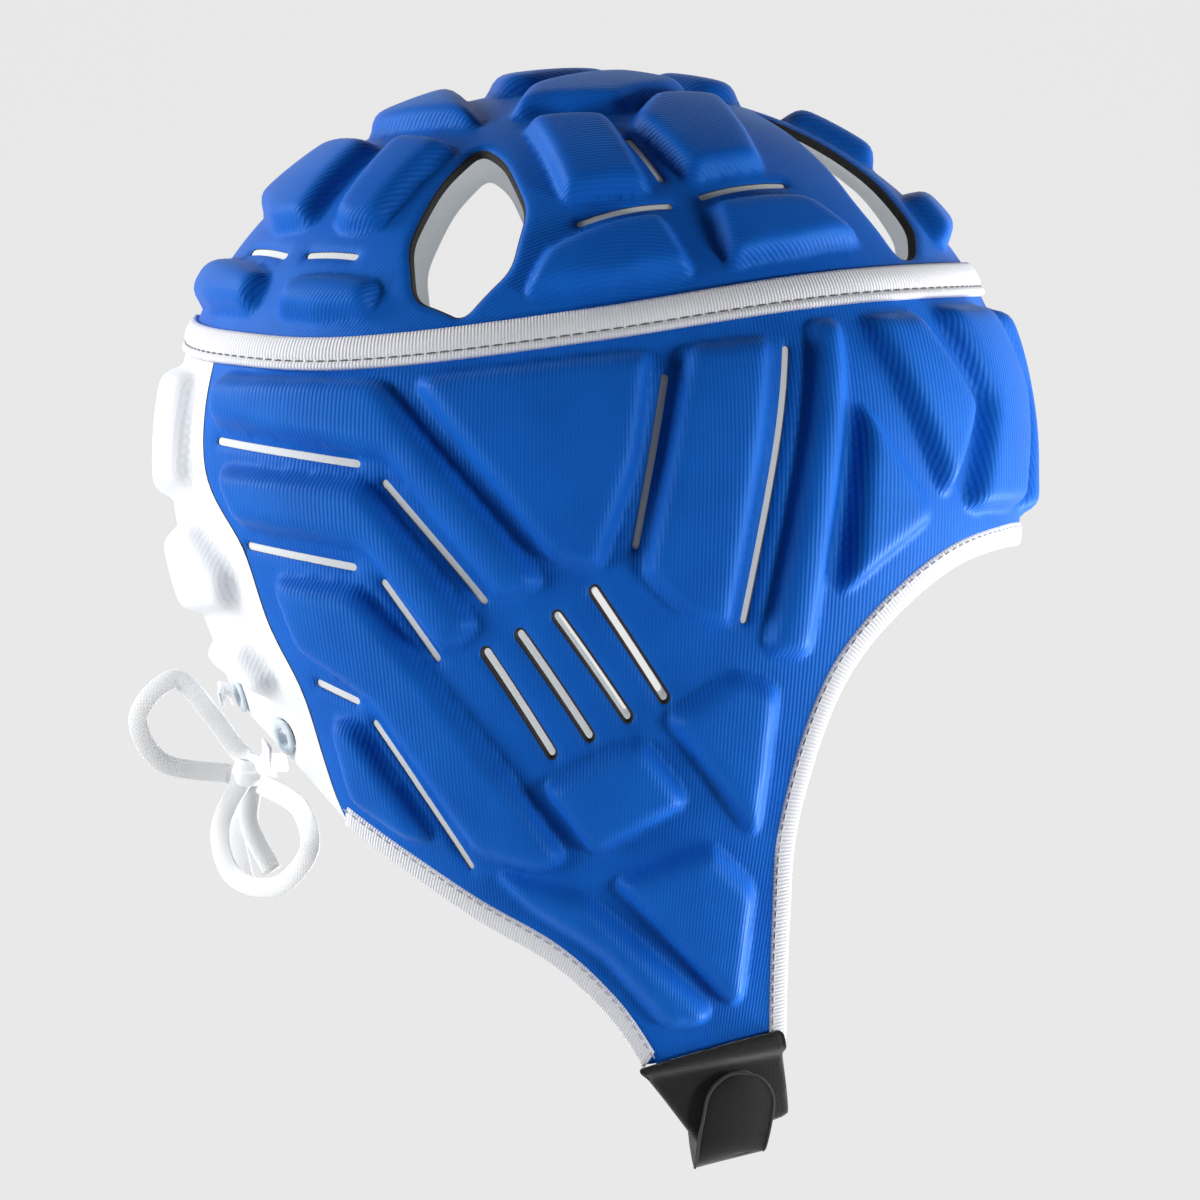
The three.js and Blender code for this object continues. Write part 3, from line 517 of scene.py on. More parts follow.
# Pads of the band by their corners, in turn and drop
band_pads = {
    "first rear bend": [(155, 0.257), (125, 0.265), (98, 0.445), (106, 0.462), (124, 0.335), (155, 0.302)],
    "second rear bend": [
        (154, 0.335), (127, 0.352), (109.5, 0.48), (115.5, 0.51), (128, 0.413), (150, 0.39),
    ],
    "third rear bend": [
        (145, 0.43), (129, 0.444), (95, 0.685), (101, 0.7), (113.5, 0.68), (130, 0.545), (142, 0.5),
    ],
    "fourth rear bend": [(138.5, 0.555), (132.5, 0.563), (120.5, 0.67), (126, 0.672), (137, 0.635)],
    "temple wedge": [(121, 0.265), (80, 0.24), (82.5, 0.335), (89, 0.435), (97.5, 0.425)],
    "temple bar": [(74.5, 0.237), (59.5, 0.227), (66.5, 0.485), (74, 0.475), (82, 0.435)],
    "brow bar": [(53.5, 0.214), (47.5, 0.212), (49, 0.29), (53.5, 0.51), (61.5, 0.505)],
    "brow triangle": [(47.3, 0.275), (34, 0.383), (42, 0.42), (50, 0.462)],
    "outer brow": [(45.5, 0.21), (34, 0.205), (25.5, 0.285), (32, 0.375)],
    "inner brow": [(30.5, 0.2), (15, 0.196), (8, 0.27), (12.5, 0.375), (28.5, 0.38), (24, 0.28)],
    "cheek block": [(100.5, 0.62), (82, 0.573), (71.5, 0.635), (90, 0.685)],
    "cheek triangle": [(66, 0.517), (58, 0.533), (59, 0.675), (77.5, 0.56)],
    "jaw block": [(87, 0.703), (67.5, 0.668), (58, 0.71), (57, 0.815), (60, 0.82)],
    "jaw bar": [(113, 0.69), (92, 0.715), (62, 0.825), (66, 0.838), (73, 0.84), (88, 0.775), (103, 0.733)],
}
centre_brow_pad = [(10.5, 0.197), (4.5, 0.27), (9.5, 0.38)]
# Slots from one end to the other. The ear slots go through, the others end at the lining.
band_slots = [
    ((154, 0.316), (129, 0.338)), ((124.5, 0.355), (109, 0.458)), ((149, 0.408), (130.5, 0.428)),
    ((125.5, 0.442), (117.5, 0.508)), ((140, 0.53), (133, 0.546)), ((130, 0.566), (115, 0.692)),
    ((78, 0.265), (83, 0.41)), ((57.5, 0.24), (64.5, 0.475)),
]
ear_slots = [
    ((109, 0.504), (98, 0.592)), ((103, 0.488), (91, 0.577)),
    ((96.5, 0.472), (84, 0.56)), ((90, 0.45), (77.5, 0.543)),
]
slot_width = 0.0018
ear_slot_width = 0.0026
slot_depth = 0.0003

# Pads, slots and vents of the crown, in degrees of tilt from the top: to the right and ahead
crown_pads = {
    "upper rear side": [(28.5, -12.5), (29.5, 2.5), (47.5, 11), (50.5, -6)],
    "upper front side": [(30.5, 6), (20, 8.5), (13.5, 18), (33, 28), (43.5, 17)],
    "lower rear side": [(66, -16), (58.5, -10), (51, 12.5), (60.5, 21), (66.5, 3)],
    "lower front side": [(46.5, 20.5), (35, 34), (35.5, 46), (47.5, 37), (57.5, 26)],
    "top bar": [(25.5, -14), (16, -11), (5.5, 4), (11, 14), (17, 12), (26, 4)],
    "back top": [(26.5, -18), (3, -17), (3, -31), (11, -31)],
    "back outer": [(30, -22), (20, -28.5), (32.5, -43), (37, -42), (41, -37)],
    "back inner": [(18.5, -31), (3.5, -35), (3, -50), (22, -50.5), (29.5, -46)],
    "back lower outer": [(50.5, -40), (36, -52), (39, -58), (47.5, -52.5), (55, -44)],
    "back lower inner": [(31, -54.5), (3, -59.5), (3, -67), (20, -65.5), (33.5, -61)],
}
crown_centre_pads = [
    [(11, -14), (12, -9), (2.5, 3)],
    [(2.5, 6), (9, 14), (7, 19)],
    [(5, 25), (8, 40)],
    [(13, 46), (18, 55.5)],
]
crown_slots = [
    ((34, 6), (43, 12)), ((54, -3), (48.5, 14)), ((44.5, 19.5), (33.5, 31)),
    ((18, -55), (29, -51.5)), ((34, -48.5), (42, -42.5)),
]
vents = [
    [(31, -19), (37, -16), (50, -13), (60, -17), (65, -28), (57, -36), (47, -34), (37, -26)],
    [(7, 21), (18, 32), (26.5, 41.5), (31, 51), (27, 53), (19, 50), (12.5, 41), (9, 31)],
]
vent_corner_radius = 0.004

nape_pads = {
    "upper": [(176, 0.245), (162, 0.255), (161, 0.355), (176, 0.365)],
    "middle": [(176, 0.39), (161, 0.38), (153, 0.43), (154, 0.465), (176, 0.465)],
    "lower": [(172, 0.487), (155, 0.487), (148.5, 0.53), (152, 0.545), (168, 0.51)],
}


def band_flat(points):
    return np.asarray(points, float) * (arc_per_degree, whole_depth)


def crown_flat(points):
    return np.asarray(points, float) * (-arc_per_degree, -arc_per_degree)


def bend_band(points, out):
    return head_point(points[:, 0] / arc_per_degree, level_at(points[:, 1]), out)


def bend_crown(points, out):
    tilt = np.hypot(points[:, 0], points[:, 1]) / arc_per_degree
    turn = np.degrees(np.arctan2(-points[:, 0], -points[:, 1]))
    return head_point(turn, tilt / 90, out)


def other_side(points):
    return [(-first, second) for first, second in points][::-1]


def spline(rows, per_row=8):
    """A smooth edge through the rows of a table."""
    rows = np.asarray(rows, float)
    ends = np.vstack([rows[0], rows, rows[-1]])
    path = []
    for before, start, end, after in zip(ends, ends[1:], ends[2:], ends[3:]):
        first, last = (end - before) / 2, (after - start) / 2
        for t in np.arange(per_row) / per_row:
            path.append(
                (2 * start - 2 * end + first + last) * t**3
                + (3 * end - 3 * start - 2 * first - last) * t**2 + first * t + start
            )
    return np.array([*path, rows[-1]])


seam_edge = spline(seam_line)


def seam_drop(turn):
    return np.interp(np.abs(turn), seam_edge[:, 0], seam_edge[:, 1])


def finer(points, step=0.0012):
    """A closed outline with its own points kept and more between them."""
    points = np.asarray(points, float)
    found = []
    for start, end in zip(points, np.roll(points, -1, axis=0)):
        count = max(1, math.ceil(np.linalg.norm(end - start) / step))
        found += [start + (end - start) * i / count for i in range(count)]
    return np.array(found)


def rounded(points, radius, count=6, most=0.42):
    """A closed outline with round corners, that take no more than a share of each side."""
    points = np.asarray(points, float)
    found = []
    for before, corner, after in zip(np.roll(points, 1, axis=0), points, np.roll(points, -1, axis=0)):
        start = corner + (before - corner) * min(radius / np.linalg.norm(before - corner), most)
        end = corner + (after - corner) * min(radius / np.linalg.norm(after - corner), most)
        for t in np.linspace(0, 1, count):
            found.append(start * (1 - t) ** 2 + 2 * corner * t * (1 - t) + end * t**2)
    return np.array(found)


def slot_outline(start, end, width, count=7):
    """A slot with round ends about two points."""
    along = (end - start) / np.linalg.norm(end - start)
    side = np.array((-along[1], along[0]))
    found = []
    for centre, direction in ((end, 1), (start, -1)):
        for angle in np.linspace(-math.pi / 2, math.pi / 2, count):
            found.append(centre + width / 2 * direction * (math.cos(angle) * along + math.sin(angle) * side))
    return np.array(found)


def within(points, outline):
    """Which points lie inside a closed outline."""
    x, y = points[:, 0], points[:, 1]
    found = np.zeros(len(points), bool)
    for (ax, ay), (bx, by) in zip(outline, np.roll(outline, -1, axis=0)):
        if ay != by:
            crosses = (ay > y) != (by > y)
            found ^= crosses & (x < ax + (bx - ax) * (y - ay) / (by - ay))
    return found


def distance_to(points, line, closed=True, most=0.02):
    """How far each point is from a line, up to the most that matters."""
    found = np.full(len(points), most)
    ends = np.roll(line, -1, axis=0) if closed else line[1:]
    for a, b in zip(line, ends):
        low, high = np.minimum(a, b) - most, np.maximum(a, b) + most
        near = np.flatnonzero(((points > low) & (points < high)).all(axis=1))
        if len(near):
            d = b - a
            t = np.clip(((points[near] - a) @ d) / max(d @ d, 1e-15), 0, 1)
            found[near] = np.minimum(found[near], np.linalg.norm(points[near] - a - t[:, None] * d, axis=1))
    return found


def wound(loop, counterclockwise=True):
    """A closed outline in the direction asked for."""
    x, y = loop.T
    area = (x * np.roll(y, -1) - y * np.roll(x, -1)).sum()
    return loop if (area > 0) == counterclockwise else loop[::-1]


def beside(loop, distance):
    """The loop's points moved to its left, which is into the cloth beside a hole that runs clockwise."""
    along = np.roll(loop, -1, axis=0) - np.roll(loop, 1, axis=0)
    along /= np.maximum(np.linalg.norm(along, axis=1, keepdims=True), 1e-12)
    return loop + np.stack([-along[:, 1], along[:, 0]], axis=1) * distance


def flat_mesh(loops, step, rings):
    """Triangles inside the first loop and outside the others, with rings of points beside those others.
    Gives the points, the faces, and the numbers of each loop's points."""
    corners = list(loops)
    lines = []
    start = 0
    for loop in loops:
        lines += [(start + i, start + (i + 1) % len(loop)) for i in range(len(loop))]
        start += len(loop)
    for loop in loops[1:]:
        corners += [beside(loop, distance)[::stride] for distance, stride in rings]
    low, high = loops[0].min(axis=0), loops[0].max(axis=0)
    rows = []
    for i, y in enumerate(np.arange(low[1], high[1], step * math.sqrt(3) / 2)):
        across = np.arange(low[0] + (i % 2) * step / 2, high[0], step)
        rows.append(np.stack([across, np.full(len(across), y)], axis=1))
    grid = np.concatenate(rows)
    grid = grid[within(grid, loops[0])]
    grid = grid[distance_to(grid, loops[0]) > 0.45 * step]
    ringed = max([distance for distance, _ in rings], default=0)
    for loop in loops[1:]:
        grid = grid[distance_to(grid, loop) > ringed + 0.5 * step]
        grid = grid[~within(grid, loop)]
    points = np.vstack([*corners, grid])
    out = delaunay_2d_cdt([Vector(p) for p in points], lines, [], 0, 1e-8)
    places = np.array([tuple(p) for p in out[0]])
    faces = np.array(out[2])
    where = np.full(len(points), -1)
    for new, old in enumerate(out[3]):
        where[old] = new
    a, b, c = (places[faces[:, i]] for i in range(3))
    area = (b[:, 0] - a[:, 0]) * (c[:, 1] - a[:, 1]) - (b[:, 1] - a[:, 1]) * (c[:, 0] - a[:, 0])
    middle = (a + b + c) / 3
    keep = within(middle, loops[0]) & (abs(area) > 1e-11)
    for loop in loops[1:]:
        keep &= ~within(middle, loop)
    faces = np.where((area < 0)[:, None], faces[:, ::-1], faces)[keep]
    numbers = []
    start = 0
    for loop in loops:
        numbers.append(where[start:start + len(loop)])
        start += len(loop)
    return places, faces, numbers


def raised(points, pads, cell=0.0005):
    """How high the pads stand at each point, from 0 to 1. Moulding gives each soft edges and round corners:
    its outline is filled on a fine grid and smoothed, and the foot of the smooth slope is left flat."""
    found = np.zeros(len(points))
    reach = math.ceil(3 * pad_softness / cell)
    taps = np.arange(-reach, reach + 1)
    weights = np.exp(-0.5 * (taps * cell / pad_softness) ** 2)
    weights /= weights.sum()
    for pad in pads:
        margin = 4 * pad_softness
        low = pad.min(axis=0) - margin
        size = np.ceil((pad.max(axis=0) + margin - low) / cell).astype(int) + 1
        marks = [low[k] + np.arange(size[k]) * cell for k in (0, 1)]
        grid = np.stack(np.meshgrid(*marks, indexing="ij"), -1)
        mask = within(grid.reshape(-1, 2), pad).reshape(size).astype(float)
        for axis in (0, 1):
            mask = sum(w * np.roll(mask, t, axis=axis) for t, w in zip(taps, weights))
        near = np.flatnonzero(((points > low + cell) & (points < low + (size - 3) * cell)).all(axis=1))
        at = (points[near] - low) / cell
        i = at.astype(int)
        f = at - i
        value = sum(
            mask[i[:, 0] + dx, i[:, 1] + dy] * np.abs(1 - dx - f[:, 0]) * np.abs(1 - dy - f[:, 1])
            for dx in (0, 1) for dy in (0, 1)
        )
        height = np.clip((value - pad_foot) / (1 - pad_foot), 0, 1)
        found[near] = np.maximum(found[near], height)
    return found


def grid_uv(mesh, flat):
    """The way the cloth was cut as its UV map, in millimetres."""
    loops = np.zeros(len(mesh.loops), int)
    mesh.loops.foreach_get("vertex_index", loops)
    layer = mesh.uv_layers.new(name="cloth")
    layer.data.foreach_set("uv", (flat[loops] * millimetres).ravel())


def closeness(distance, reach):
    """1 at an edge, and down to 0 at the reach from it, in a soft curve."""
    return np.clip(1 - distance / reach, 0, 1) ** 2


def rims(first, second):
    """The corners of each wall between two rims: two points of the first rim, and two of the second."""
    return np.stack([first, np.roll(first, -1), second, np.roll(second, -1)], axis=1).tolist()


def panel(name, outline, holes, slots, pads, bend, bound_edges, materials):
    """A padded panel. Its materials are the knit outside, the foam in its cut edges, the lining inside, and
    the floors of its slots."""
    holes = [wound(finer(hole, cut_step), False) for hole in holes]
    slots = [wound(finer(slot, cut_step), False) for slot in slots]
    outline = wound(finer(outline))
    flat, faces, numbers = flat_mesh([outline, *holes, *slots], panel_step, cut_rings)
    lining_loops = [outline] + [beside(hole, -lining_overlap) for hole in holes]
    lining_flat, lining_faces, lining_numbers = flat_mesh(lining_loops, lining_step, lining_rings)

    def bound(points):
        to_edge = np.full(len(points), bound_reach)
        for edge in bound_edges:
            to_edge = np.minimum(to_edge, distance_to(points, edge, False, bound_reach))
        return closeness(to_edge, bound_reach)

    def top(points):
        height = sheet_thickness + pad_height * raised(points, pads)
        for loop in holes:
            height -= vent_press * closeness(distance_to(points, loop), vent_reach)
        for loop in slots:
            height -= slot_press * closeness(distance_to(points, loop), slot_reach)
        return height - bound_press * bound(points)

    def underside(points):
        height = np.zeros(len(points))
        for loop in holes:
            height = np.maximum(height, vent_lift * closeness(distance_to(points, loop), vent_lift_reach))
        return height + bound_lift * bound(points)

    knit, foam, lining, floor = range(4)
    below = len(flat)
    places = [bend(flat, top(flat)), bend(lining_flat, underside(lining_flat))]
    spread = [flat, lining_flat]
    all_faces = faces.tolist() + (lining_faces[:, ::-1] + below).tolist()
    kinds = np.full(len(faces), knit)
    middles = flat[faces].mean(axis=1)
    for hole in holes:
        kinds[distance_to(middles, hole) < rim_width] = foam
    kinds = kinds.tolist() + [lining] * len(lining_faces)
    sharp = set()

    def wall(upper_rim, lower_rim):
        for a, b, c, d in rims(upper_rim, lower_rim):
            all_faces.append((b, a, c, d))
            kinds.append(foam)
            sharp.update({tuple(sorted((a, b))), tuple(sorted((c, d)))})

    for outer, inner in zip(numbers, lining_numbers):
        wall(outer, inner + below)
    count = below + len(lining_flat)
    for loop, outer in zip(slots, numbers[1 + len(holes):]):
        floor_flat, floor_faces, (rim,) = flat_mesh([loop], 1.0, [])
        places.append(bend(floor_flat, top(floor_flat) - slot_depth))
        spread.append(floor_flat)
        wall(outer, rim + count)
        all_faces += (floor_faces + count).tolist()
        kinds += [floor] * len(floor_faces)
        count += len(floor_flat)
    piece = new_piece(name, np.vstack(places).tolist(), all_faces, materials)
    mesh = piece.data
    mesh.polygons.foreach_set("material_index", kinds)
    grid_uv(mesh, np.vstack(spread))
    edges = np.zeros(len(mesh.edges) * 2, int)
    mesh.edges.foreach_get("vertices", edges)
    marks = [tuple(sorted(pair)) in sharp for pair in edges.reshape(-1, 2).tolist()]
    mesh.edges.foreach_set("use_edge_sharp", marks)
    mesh.update()
    return piece


rib_pitch = 0.95
loop_share = 0.45
# How far the rib and loop pattern darkens the knit's colour in its hollows: painted shade
rib_shade_share = 0.22


def rib_scale(pitch):
    """The scale at which a wave texture's bands lie a pitch apart."""
    return 2 * math.pi / 20 / pitch


def knit_material(name, colour, dark, rib_turn, roughness, sheen, sheen_colour, depth=0.00022):
    """A ribbed knit. Its ribs run along the cut of the cloth, a millimetre apart, with loops in them and
    with broad patches a little darker. Its colour is painted darker in the hollows of the ribs and loops
    and lighter on their tops: painted shade."""
    material, tree, shader = cloth_material(name, colour, roughness, sheen, sheen_colour)
    uv = node(tree, "ShaderNodeUVMap", uv_map="cloth")
    turn = node(tree, "ShaderNodeMapping")
    turn.inputs["Rotation"].default_value = (0, 0, math.radians(rib_turn))
    ribs = node(
        tree, "ShaderNodeTexWave", wave_type="BANDS", bands_direction="X",
        Scale=rib_scale(rib_pitch), Distortion=0.7, Detail=2.0,
    )
    ribs.inputs["Detail Scale"].default_value = 0.6
    stretch = node(tree, "ShaderNodeMapping")
    stretch.inputs["Scale"].default_value = (1.6, 0.5, 1)
    loops = node(tree, "ShaderNodeTexNoise", Scale=1.7, Detail=3.0, Roughness=0.6)
    patches = node(tree, "ShaderNodeTexNoise", Scale=0.06, Detail=2.0)
    blend = node(tree, "ShaderNodeMath", operation="MULTIPLY_ADD")
    blend.inputs[1].default_value = loop_share
    shade = node(tree, "ShaderNodeMath", operation="MULTIPLY_ADD")
    shade.inputs[1].default_value = rib_shade_share
    tones = two_tones(tree, dark, colour)
    bump = node(tree, "ShaderNodeBump", Strength=0.3, Distance=depth)
    wire(tree, [
        (uv, "UV", turn, "Vector"), (turn, "Vector", ribs, "Vector"),
        (turn, "Vector", stretch, "Vector"), (stretch, "Vector", loops, "Vector"),
        (uv, "UV", patches, "Vector"), (loops, "Fac", blend, 0), (ribs, "Fac", blend, 2),
        (blend, "Value", bump, "Height"), (blend, "Value", shade, 0), (patches, "Fac", shade, 2),
        (shade, "Value", tones, 0), (tones, 2, shader, "Base Color"),
        (bump, "Normal", shader, "Normal"),
    ])
    return material


def speckled_material(name, colour, dark, scale, roughness, depth, sheen=0.0):
    """Foam, lining or nap: a fine grain in two near tones. The scale is to a metre."""
    material, tree, shader = cloth_material(name, colour, roughness, sheen)
    place = node(tree, "ShaderNodeTexCoord")
    grain = node(tree, "ShaderNodeTexNoise", Scale=scale, Detail=4.0, Roughness=0.65)
    tones = two_tones(tree, dark, colour)
    bump = node(tree, "ShaderNodeBump", Strength=0.5, Distance=depth)
    wire(tree, [
        (place, "Object", grain, "Vector"), (grain, "Fac", tones, 0), (grain, "Fac", bump, "Height"),
        (tones, 2, shader, "Base Color"), (bump, "Normal", shader, "Normal"),
    ])
    return material


blue, blue_dark, blue_sheen = (0.007, 0.13, 0.6), (0.004, 0.078, 0.42), (0.14, 0.5, 1.0)
blue_side_knit = knit_material("blue_side_knit", blue, blue_dark, 0, 0.48, 0.12, blue_sheen)
blue_crown_knit = knit_material("blue_crown_knit", blue, blue_dark, -8, 0.48, 0.12, blue_sheen)
white_knit = knit_material(
    "white_knit", (0.86, 0.88, 0.91), (0.74, 0.77, 0.81), 0, 0.65, 0.2, (1, 1, 1), depth=0.0001,
)
cut_foam = speckled_material("cut_foam", (0.05, 0.048, 0.045), (0.015, 0.015, 0.015), 1500, 0.95, 0.0002)
grey_lining = speckled_material("grey_lining", (0.66, 0.68, 0.7), (0.56, 0.58, 0.6), 1400, 0.85, 0.0001)
# The lining at the floors of the narrow slots, painted lighter than the lining elsewhere: painted light
# against the shade in the slots
slot_floor_painted_light = speckled_material("slot_floor_painted_light", (0.82, 0.85, 0.86), (0.72, 0.75, 0.76), 1500, 0.85, 0.0001)
white_floor = speckled_material("white_floor", (0.7, 0.72, 0.74), (0.6, 0.62, 0.64), 1500, 0.85, 0.0001)


def seam_row(start, end):
    """The seam's line just below the seam, from one turn to another."""
    turns = np.linspace(start, end, 2 + int(abs(end - start) / 2))
    return np.stack([turns, seam_drop(turns) + seam_gap / 2 / whole_depth], axis=1)


def both(points_list):
    return [side for points in points_list for side in (points, other_side(points))]


def cuts(slots, flatten, width):
    """The outlines of slots and of their mirror images."""
    return [
        slot_outline(*flatten(ends), width)
        for pair in slots for ends in (np.array(pair), np.array(pair) * (-1, 1))
    ]


# The band round the brow, temples, ears and jaws
rear_edge = spline(rear_joint)
jaw_edge = spline([row for row in lower_edge if row[0] <= rear_joint[-1][0]])
brow_edge = spline(face_edge)
half_band = np.vstack([seam_row(0, rear_joint[0][0]), rear_edge[1:], jaw_edge[1:], brow_edge[::-1]])
left_band = (half_band[1:-1] * (-1, 1))[::-1]
band_outline = band_flat(np.vstack([half_band, left_band]))
face_course = band_flat(np.vstack([(brow_edge * (-1, 1))[::-1][:-1], brow_edge]))
right_jaw_course = band_flat(jaw_edge[::-1])
left_jaw_course = right_jaw_course * (-1, 1)
ear_cuts = cuts(ear_slots, band_flat, ear_slot_width)
band_cuts = cuts(band_slots, band_flat, slot_width)
band_pad_outlines = [band_flat(points) for points in both(band_pads.values())]
band_pad_outlines.append(band_flat([*centre_brow_pad, *other_side(centre_brow_pad)]))
band = panel(
    "band_padding", band_outline, ear_cuts, band_cuts, band_pad_outlines, bend_band,
    [face_course, right_jaw_course, left_jaw_course], [blue_side_knit, cut_foam, grey_lining, slot_floor_painted_light],
)
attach(band, "root")
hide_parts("band")

# The crown, with its two rear and two front vents
rim_turns = np.linspace(0, 360, 181)[:-1]
rim_drop = seam_drop(np.where(rim_turns > 180, rim_turns - 360, rim_turns)) * whole_depth - seam_gap / 2
rim_tilt = level_at(rim_drop) * 90
rim_right = rim_tilt * np.sin(np.radians(rim_turns))
rim_ahead = rim_tilt * np.cos(np.radians(rim_turns))
crown_outline = crown_flat(np.stack([rim_right, rim_ahead], axis=1))
crown_vents = [rounded(crown_flat(points), vent_corner_radius) for points in both(vents)]
crown_cuts = cuts(crown_slots, crown_flat, slot_width)
crown_pad_outlines = [crown_flat(points) for points in both(crown_pads.values())]
crown_pad_outlines += [crown_flat([*points, *other_side(points)]) for points in crown_centre_pads]
crown = panel(
    "crown_padding", crown_outline, crown_vents, crown_cuts, crown_pad_outlines, bend_crown,
    [], [blue_crown_knit, cut_foam, grey_lining, slot_floor_painted_light],
)
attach(crown, "root")
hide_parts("crown")

# The white nape panel, with the holes of the four eyelets
nape_gap = 1.5 * seam_gap / arc_per_degree
nape_joint = rear_edge + (nape_gap, 0)
nape_lower = spline([row for row in lower_edge if row[0] >= rear_joint[-1][0] - 1])
half_nape = np.vstack([seam_row(180, nape_joint[0][0]), nape_joint[1:], nape_lower[::-1][1:]])
left_nape = (half_nape[1:-1] * (-1, 1) + (360, 0))[::-1]
nape_outline = band_flat(np.vstack([half_nape, left_nape]))
eyelet_hole = 0.0035
nape_holes = []
for turn, drop in eyelets.values():
    for place in band_flat([(turn, drop), (360 - turn, drop)]):
        angles = np.linspace(0, 2 * math.pi, 25)[:-1]
        nape_holes.append(place + eyelet_hole * np.stack([np.cos(angles), np.sin(angles)], axis=1))
nape_pad_outlines = []
for points in nape_pads.values():
    nape_pad_outlines.append(band_flat(points))
    nape_pad_outlines.append(band_flat([(360 - turn, drop) for turn, drop in points][::-1]))
nape_course = band_flat(np.vstack([nape_lower[::-1], (nape_lower * (-1, 1) + (360, 0))[1:]]))
nape = panel(
    "nape_padding", nape_outline, nape_holes, [], nape_pad_outlines, bend_band,
    [nape_course], [white_knit, white_floor, grey_lining, white_floor],
)
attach(nape, "root")
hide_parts("nape_panel")

# The tapes.
# A cross-ribbed white tape covers the seam between crown and band, and is folded over the edges of the
# face opening and the jaws. Each is sewn down with a row of grey stitches.

tape_low = sheet_thickness + 0.0002
tape_wall = 0.001
tape_rib_pitch = 0.85
tape_grain_share = 0.4
stitch_line = 0.0018
fold_leg = 0.0046
fold_bulge = 0.0013
fold_stitch_line = -0.0034
thread_height = 0.0004
tape_step = 0.002
stitch_step = 0.001


def tape_material():
    material, tree, shader = cloth_material("ribbed_tape", (0.8, 0.81, 0.85), 0.75, 0.2)
    uv = node(tree, "ShaderNodeUVMap", uv_map="cloth")
    ribs = node(
        tree, "ShaderNodeTexWave", wave_type="BANDS", bands_direction="X",
        Scale=rib_scale(tape_rib_pitch), Distortion=0.5,
    )
    grain = node(tree, "ShaderNodeTexNoise", Scale=2.2, Detail=3.0)
    blend = node(tree, "ShaderNodeMath", operation="MULTIPLY_ADD")
    blend.inputs[1].default_value = tape_grain_share
    # The colour follows the ribs and the grain: the hollows of the ribs are painted darker, as painted shade
    tones = two_tones(tree, (0.6, 0.6, 0.66), (0.84, 0.85, 0.88))
    bump = node(tree, "ShaderNodeBump", Strength=0.6, Distance=0.0002)
    wire(tree, [
        (uv, "UV", ribs, "Vector"), (uv, "UV", grain, "Vector"), (grain, "Fac", blend, 0),
        (ribs, "Fac", blend, 2), (blend, "Value", bump, "Height"), (blend, "Value", tones, 0),
        (tones, 2, shader, "Base Color"), (bump, "Normal", shader, "Normal"),
    ])
    return material


ribbed_tape = tape_material()


def evenly(course, step):
    along = way_along(course)
    at = np.linspace(0, along[-1], max(2, round(along[-1] / step) + 1))
    return np.stack([np.interp(at, along, course[:, k]) for k in (0, 1)], axis=1)


def to_side(along):
    """The direction at a right angle to the way along a course of the chart."""
    side = np.stack([-along[:, 1], along[:, 0]], axis=1)
    return side / np.linalg.norm(side, axis=1, keepdims=True)


def tape(name, course, section, full_turn=False):
    """A tape along a course on the band's chart. Its closed section is in across and out."""
    course = evenly(course, tape_step)
    along = np.gradient(course, axis=0)
    if full_turn:
        along[0] = along[-1] = course[1] - course[0] + course[-1] - course[-2]
    side = to_side(along)
    section = np.asarray(section, float)
    count, size = len(course), len(section)
    flat = (course[:, None] + side[:, None] * section[None, :, :1]).reshape(-1, 2)
    points = bend_band(flat, np.tile(section[:, 1], count))
    rings = count - 1 if full_turn else count
    faces = tube_faces(rings, size, full_turn)
    piece = new_piece(name, points[:rings * size].tolist(), faces, [ribbed_tape])
    uv = piece.data.uv_layers.new(name="cloth")
    travelled = way_along(course) * millimetres
    across = section.sum(axis=1) * millimetres
    for i in range(count - 1):
        for j in range(size):
            k = (j + 1) % size
            start = piece.data.polygons[i * size + j].loop_start
            for n, (ring, corner) in enumerate(((i, j), (i, k), (i + 1, k), (i + 1, j))):
                uv.data[start + n].uv = (travelled[ring], across[corner])
    return piece


def seam_section():
    """A plump upper part, the sunk stitch line, and a narrow strip under it, seen from the tape's end."""
    upper, line, lower = -0.0036, stitch_line, 0.0038
    top = tape_low + 0.0015
    return [
        (upper, tape_low), (upper + 0.0002, top - 0.0004), (upper + 0.0009, top), (-0.0009, top + 0.0002),
        (line - 0.0010, top), (line - 0.0003, top - 0.0005), (line, top - 0.0008),
        (line + 0.0003, top - 0.0005), (line + 0.0008, top - 0.0002), (lower - 0.0004, top - 0.0004),
        (lower, tape_low),
    ]


whole_turn = np.linspace(-180, 180, 361)
seam_course = band_flat(np.stack([whole_turn, seam_drop(whole_turn)], axis=1))
crown_tape = tape("crown_seam_tape", seam_course, seam_section(), True)
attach(crown_tape, "root")
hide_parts("crown_binding")


def fold_section(steps=8):
    """The tape round a raw edge: outer leg, round nose and inner leg, as one closed section."""
    high = sheet_thickness - bound_press + tape_wall
    low = bound_lift - tape_wall
    middle, radius = (high + low) / 2, (high - low) / 2
    section = [
        (-fold_leg, high - 0.0006), (-fold_leg + 0.0004, high), (-fold_leg + 0.0012, high + 0.0002),
        (-0.0016, high + 0.0002),
    ]
    for i in range(steps + 1):
        angle = math.radians(90 - 180 * i / steps)
        section.append((fold_bulge * math.cos(angle), middle + (radius + 0.0001) * math.sin(angle)))
    return section + [(-fold_leg + 0.0006, low - 0.0001), (-fold_leg, low + 0.0004)]


face_tape = tape("face_edge_tape", face_course, fold_section())
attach(face_tape, "root")
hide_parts("face_binding")

for name, course in (("right", right_jaw_course), ("left", left_jaw_course[::-1])):
    jaw_tape = tape(f"jaw_edge_tape_{name}", course, fold_section())
    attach(jaw_tape, "root")
    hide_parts(f"lower_binding_{name}")


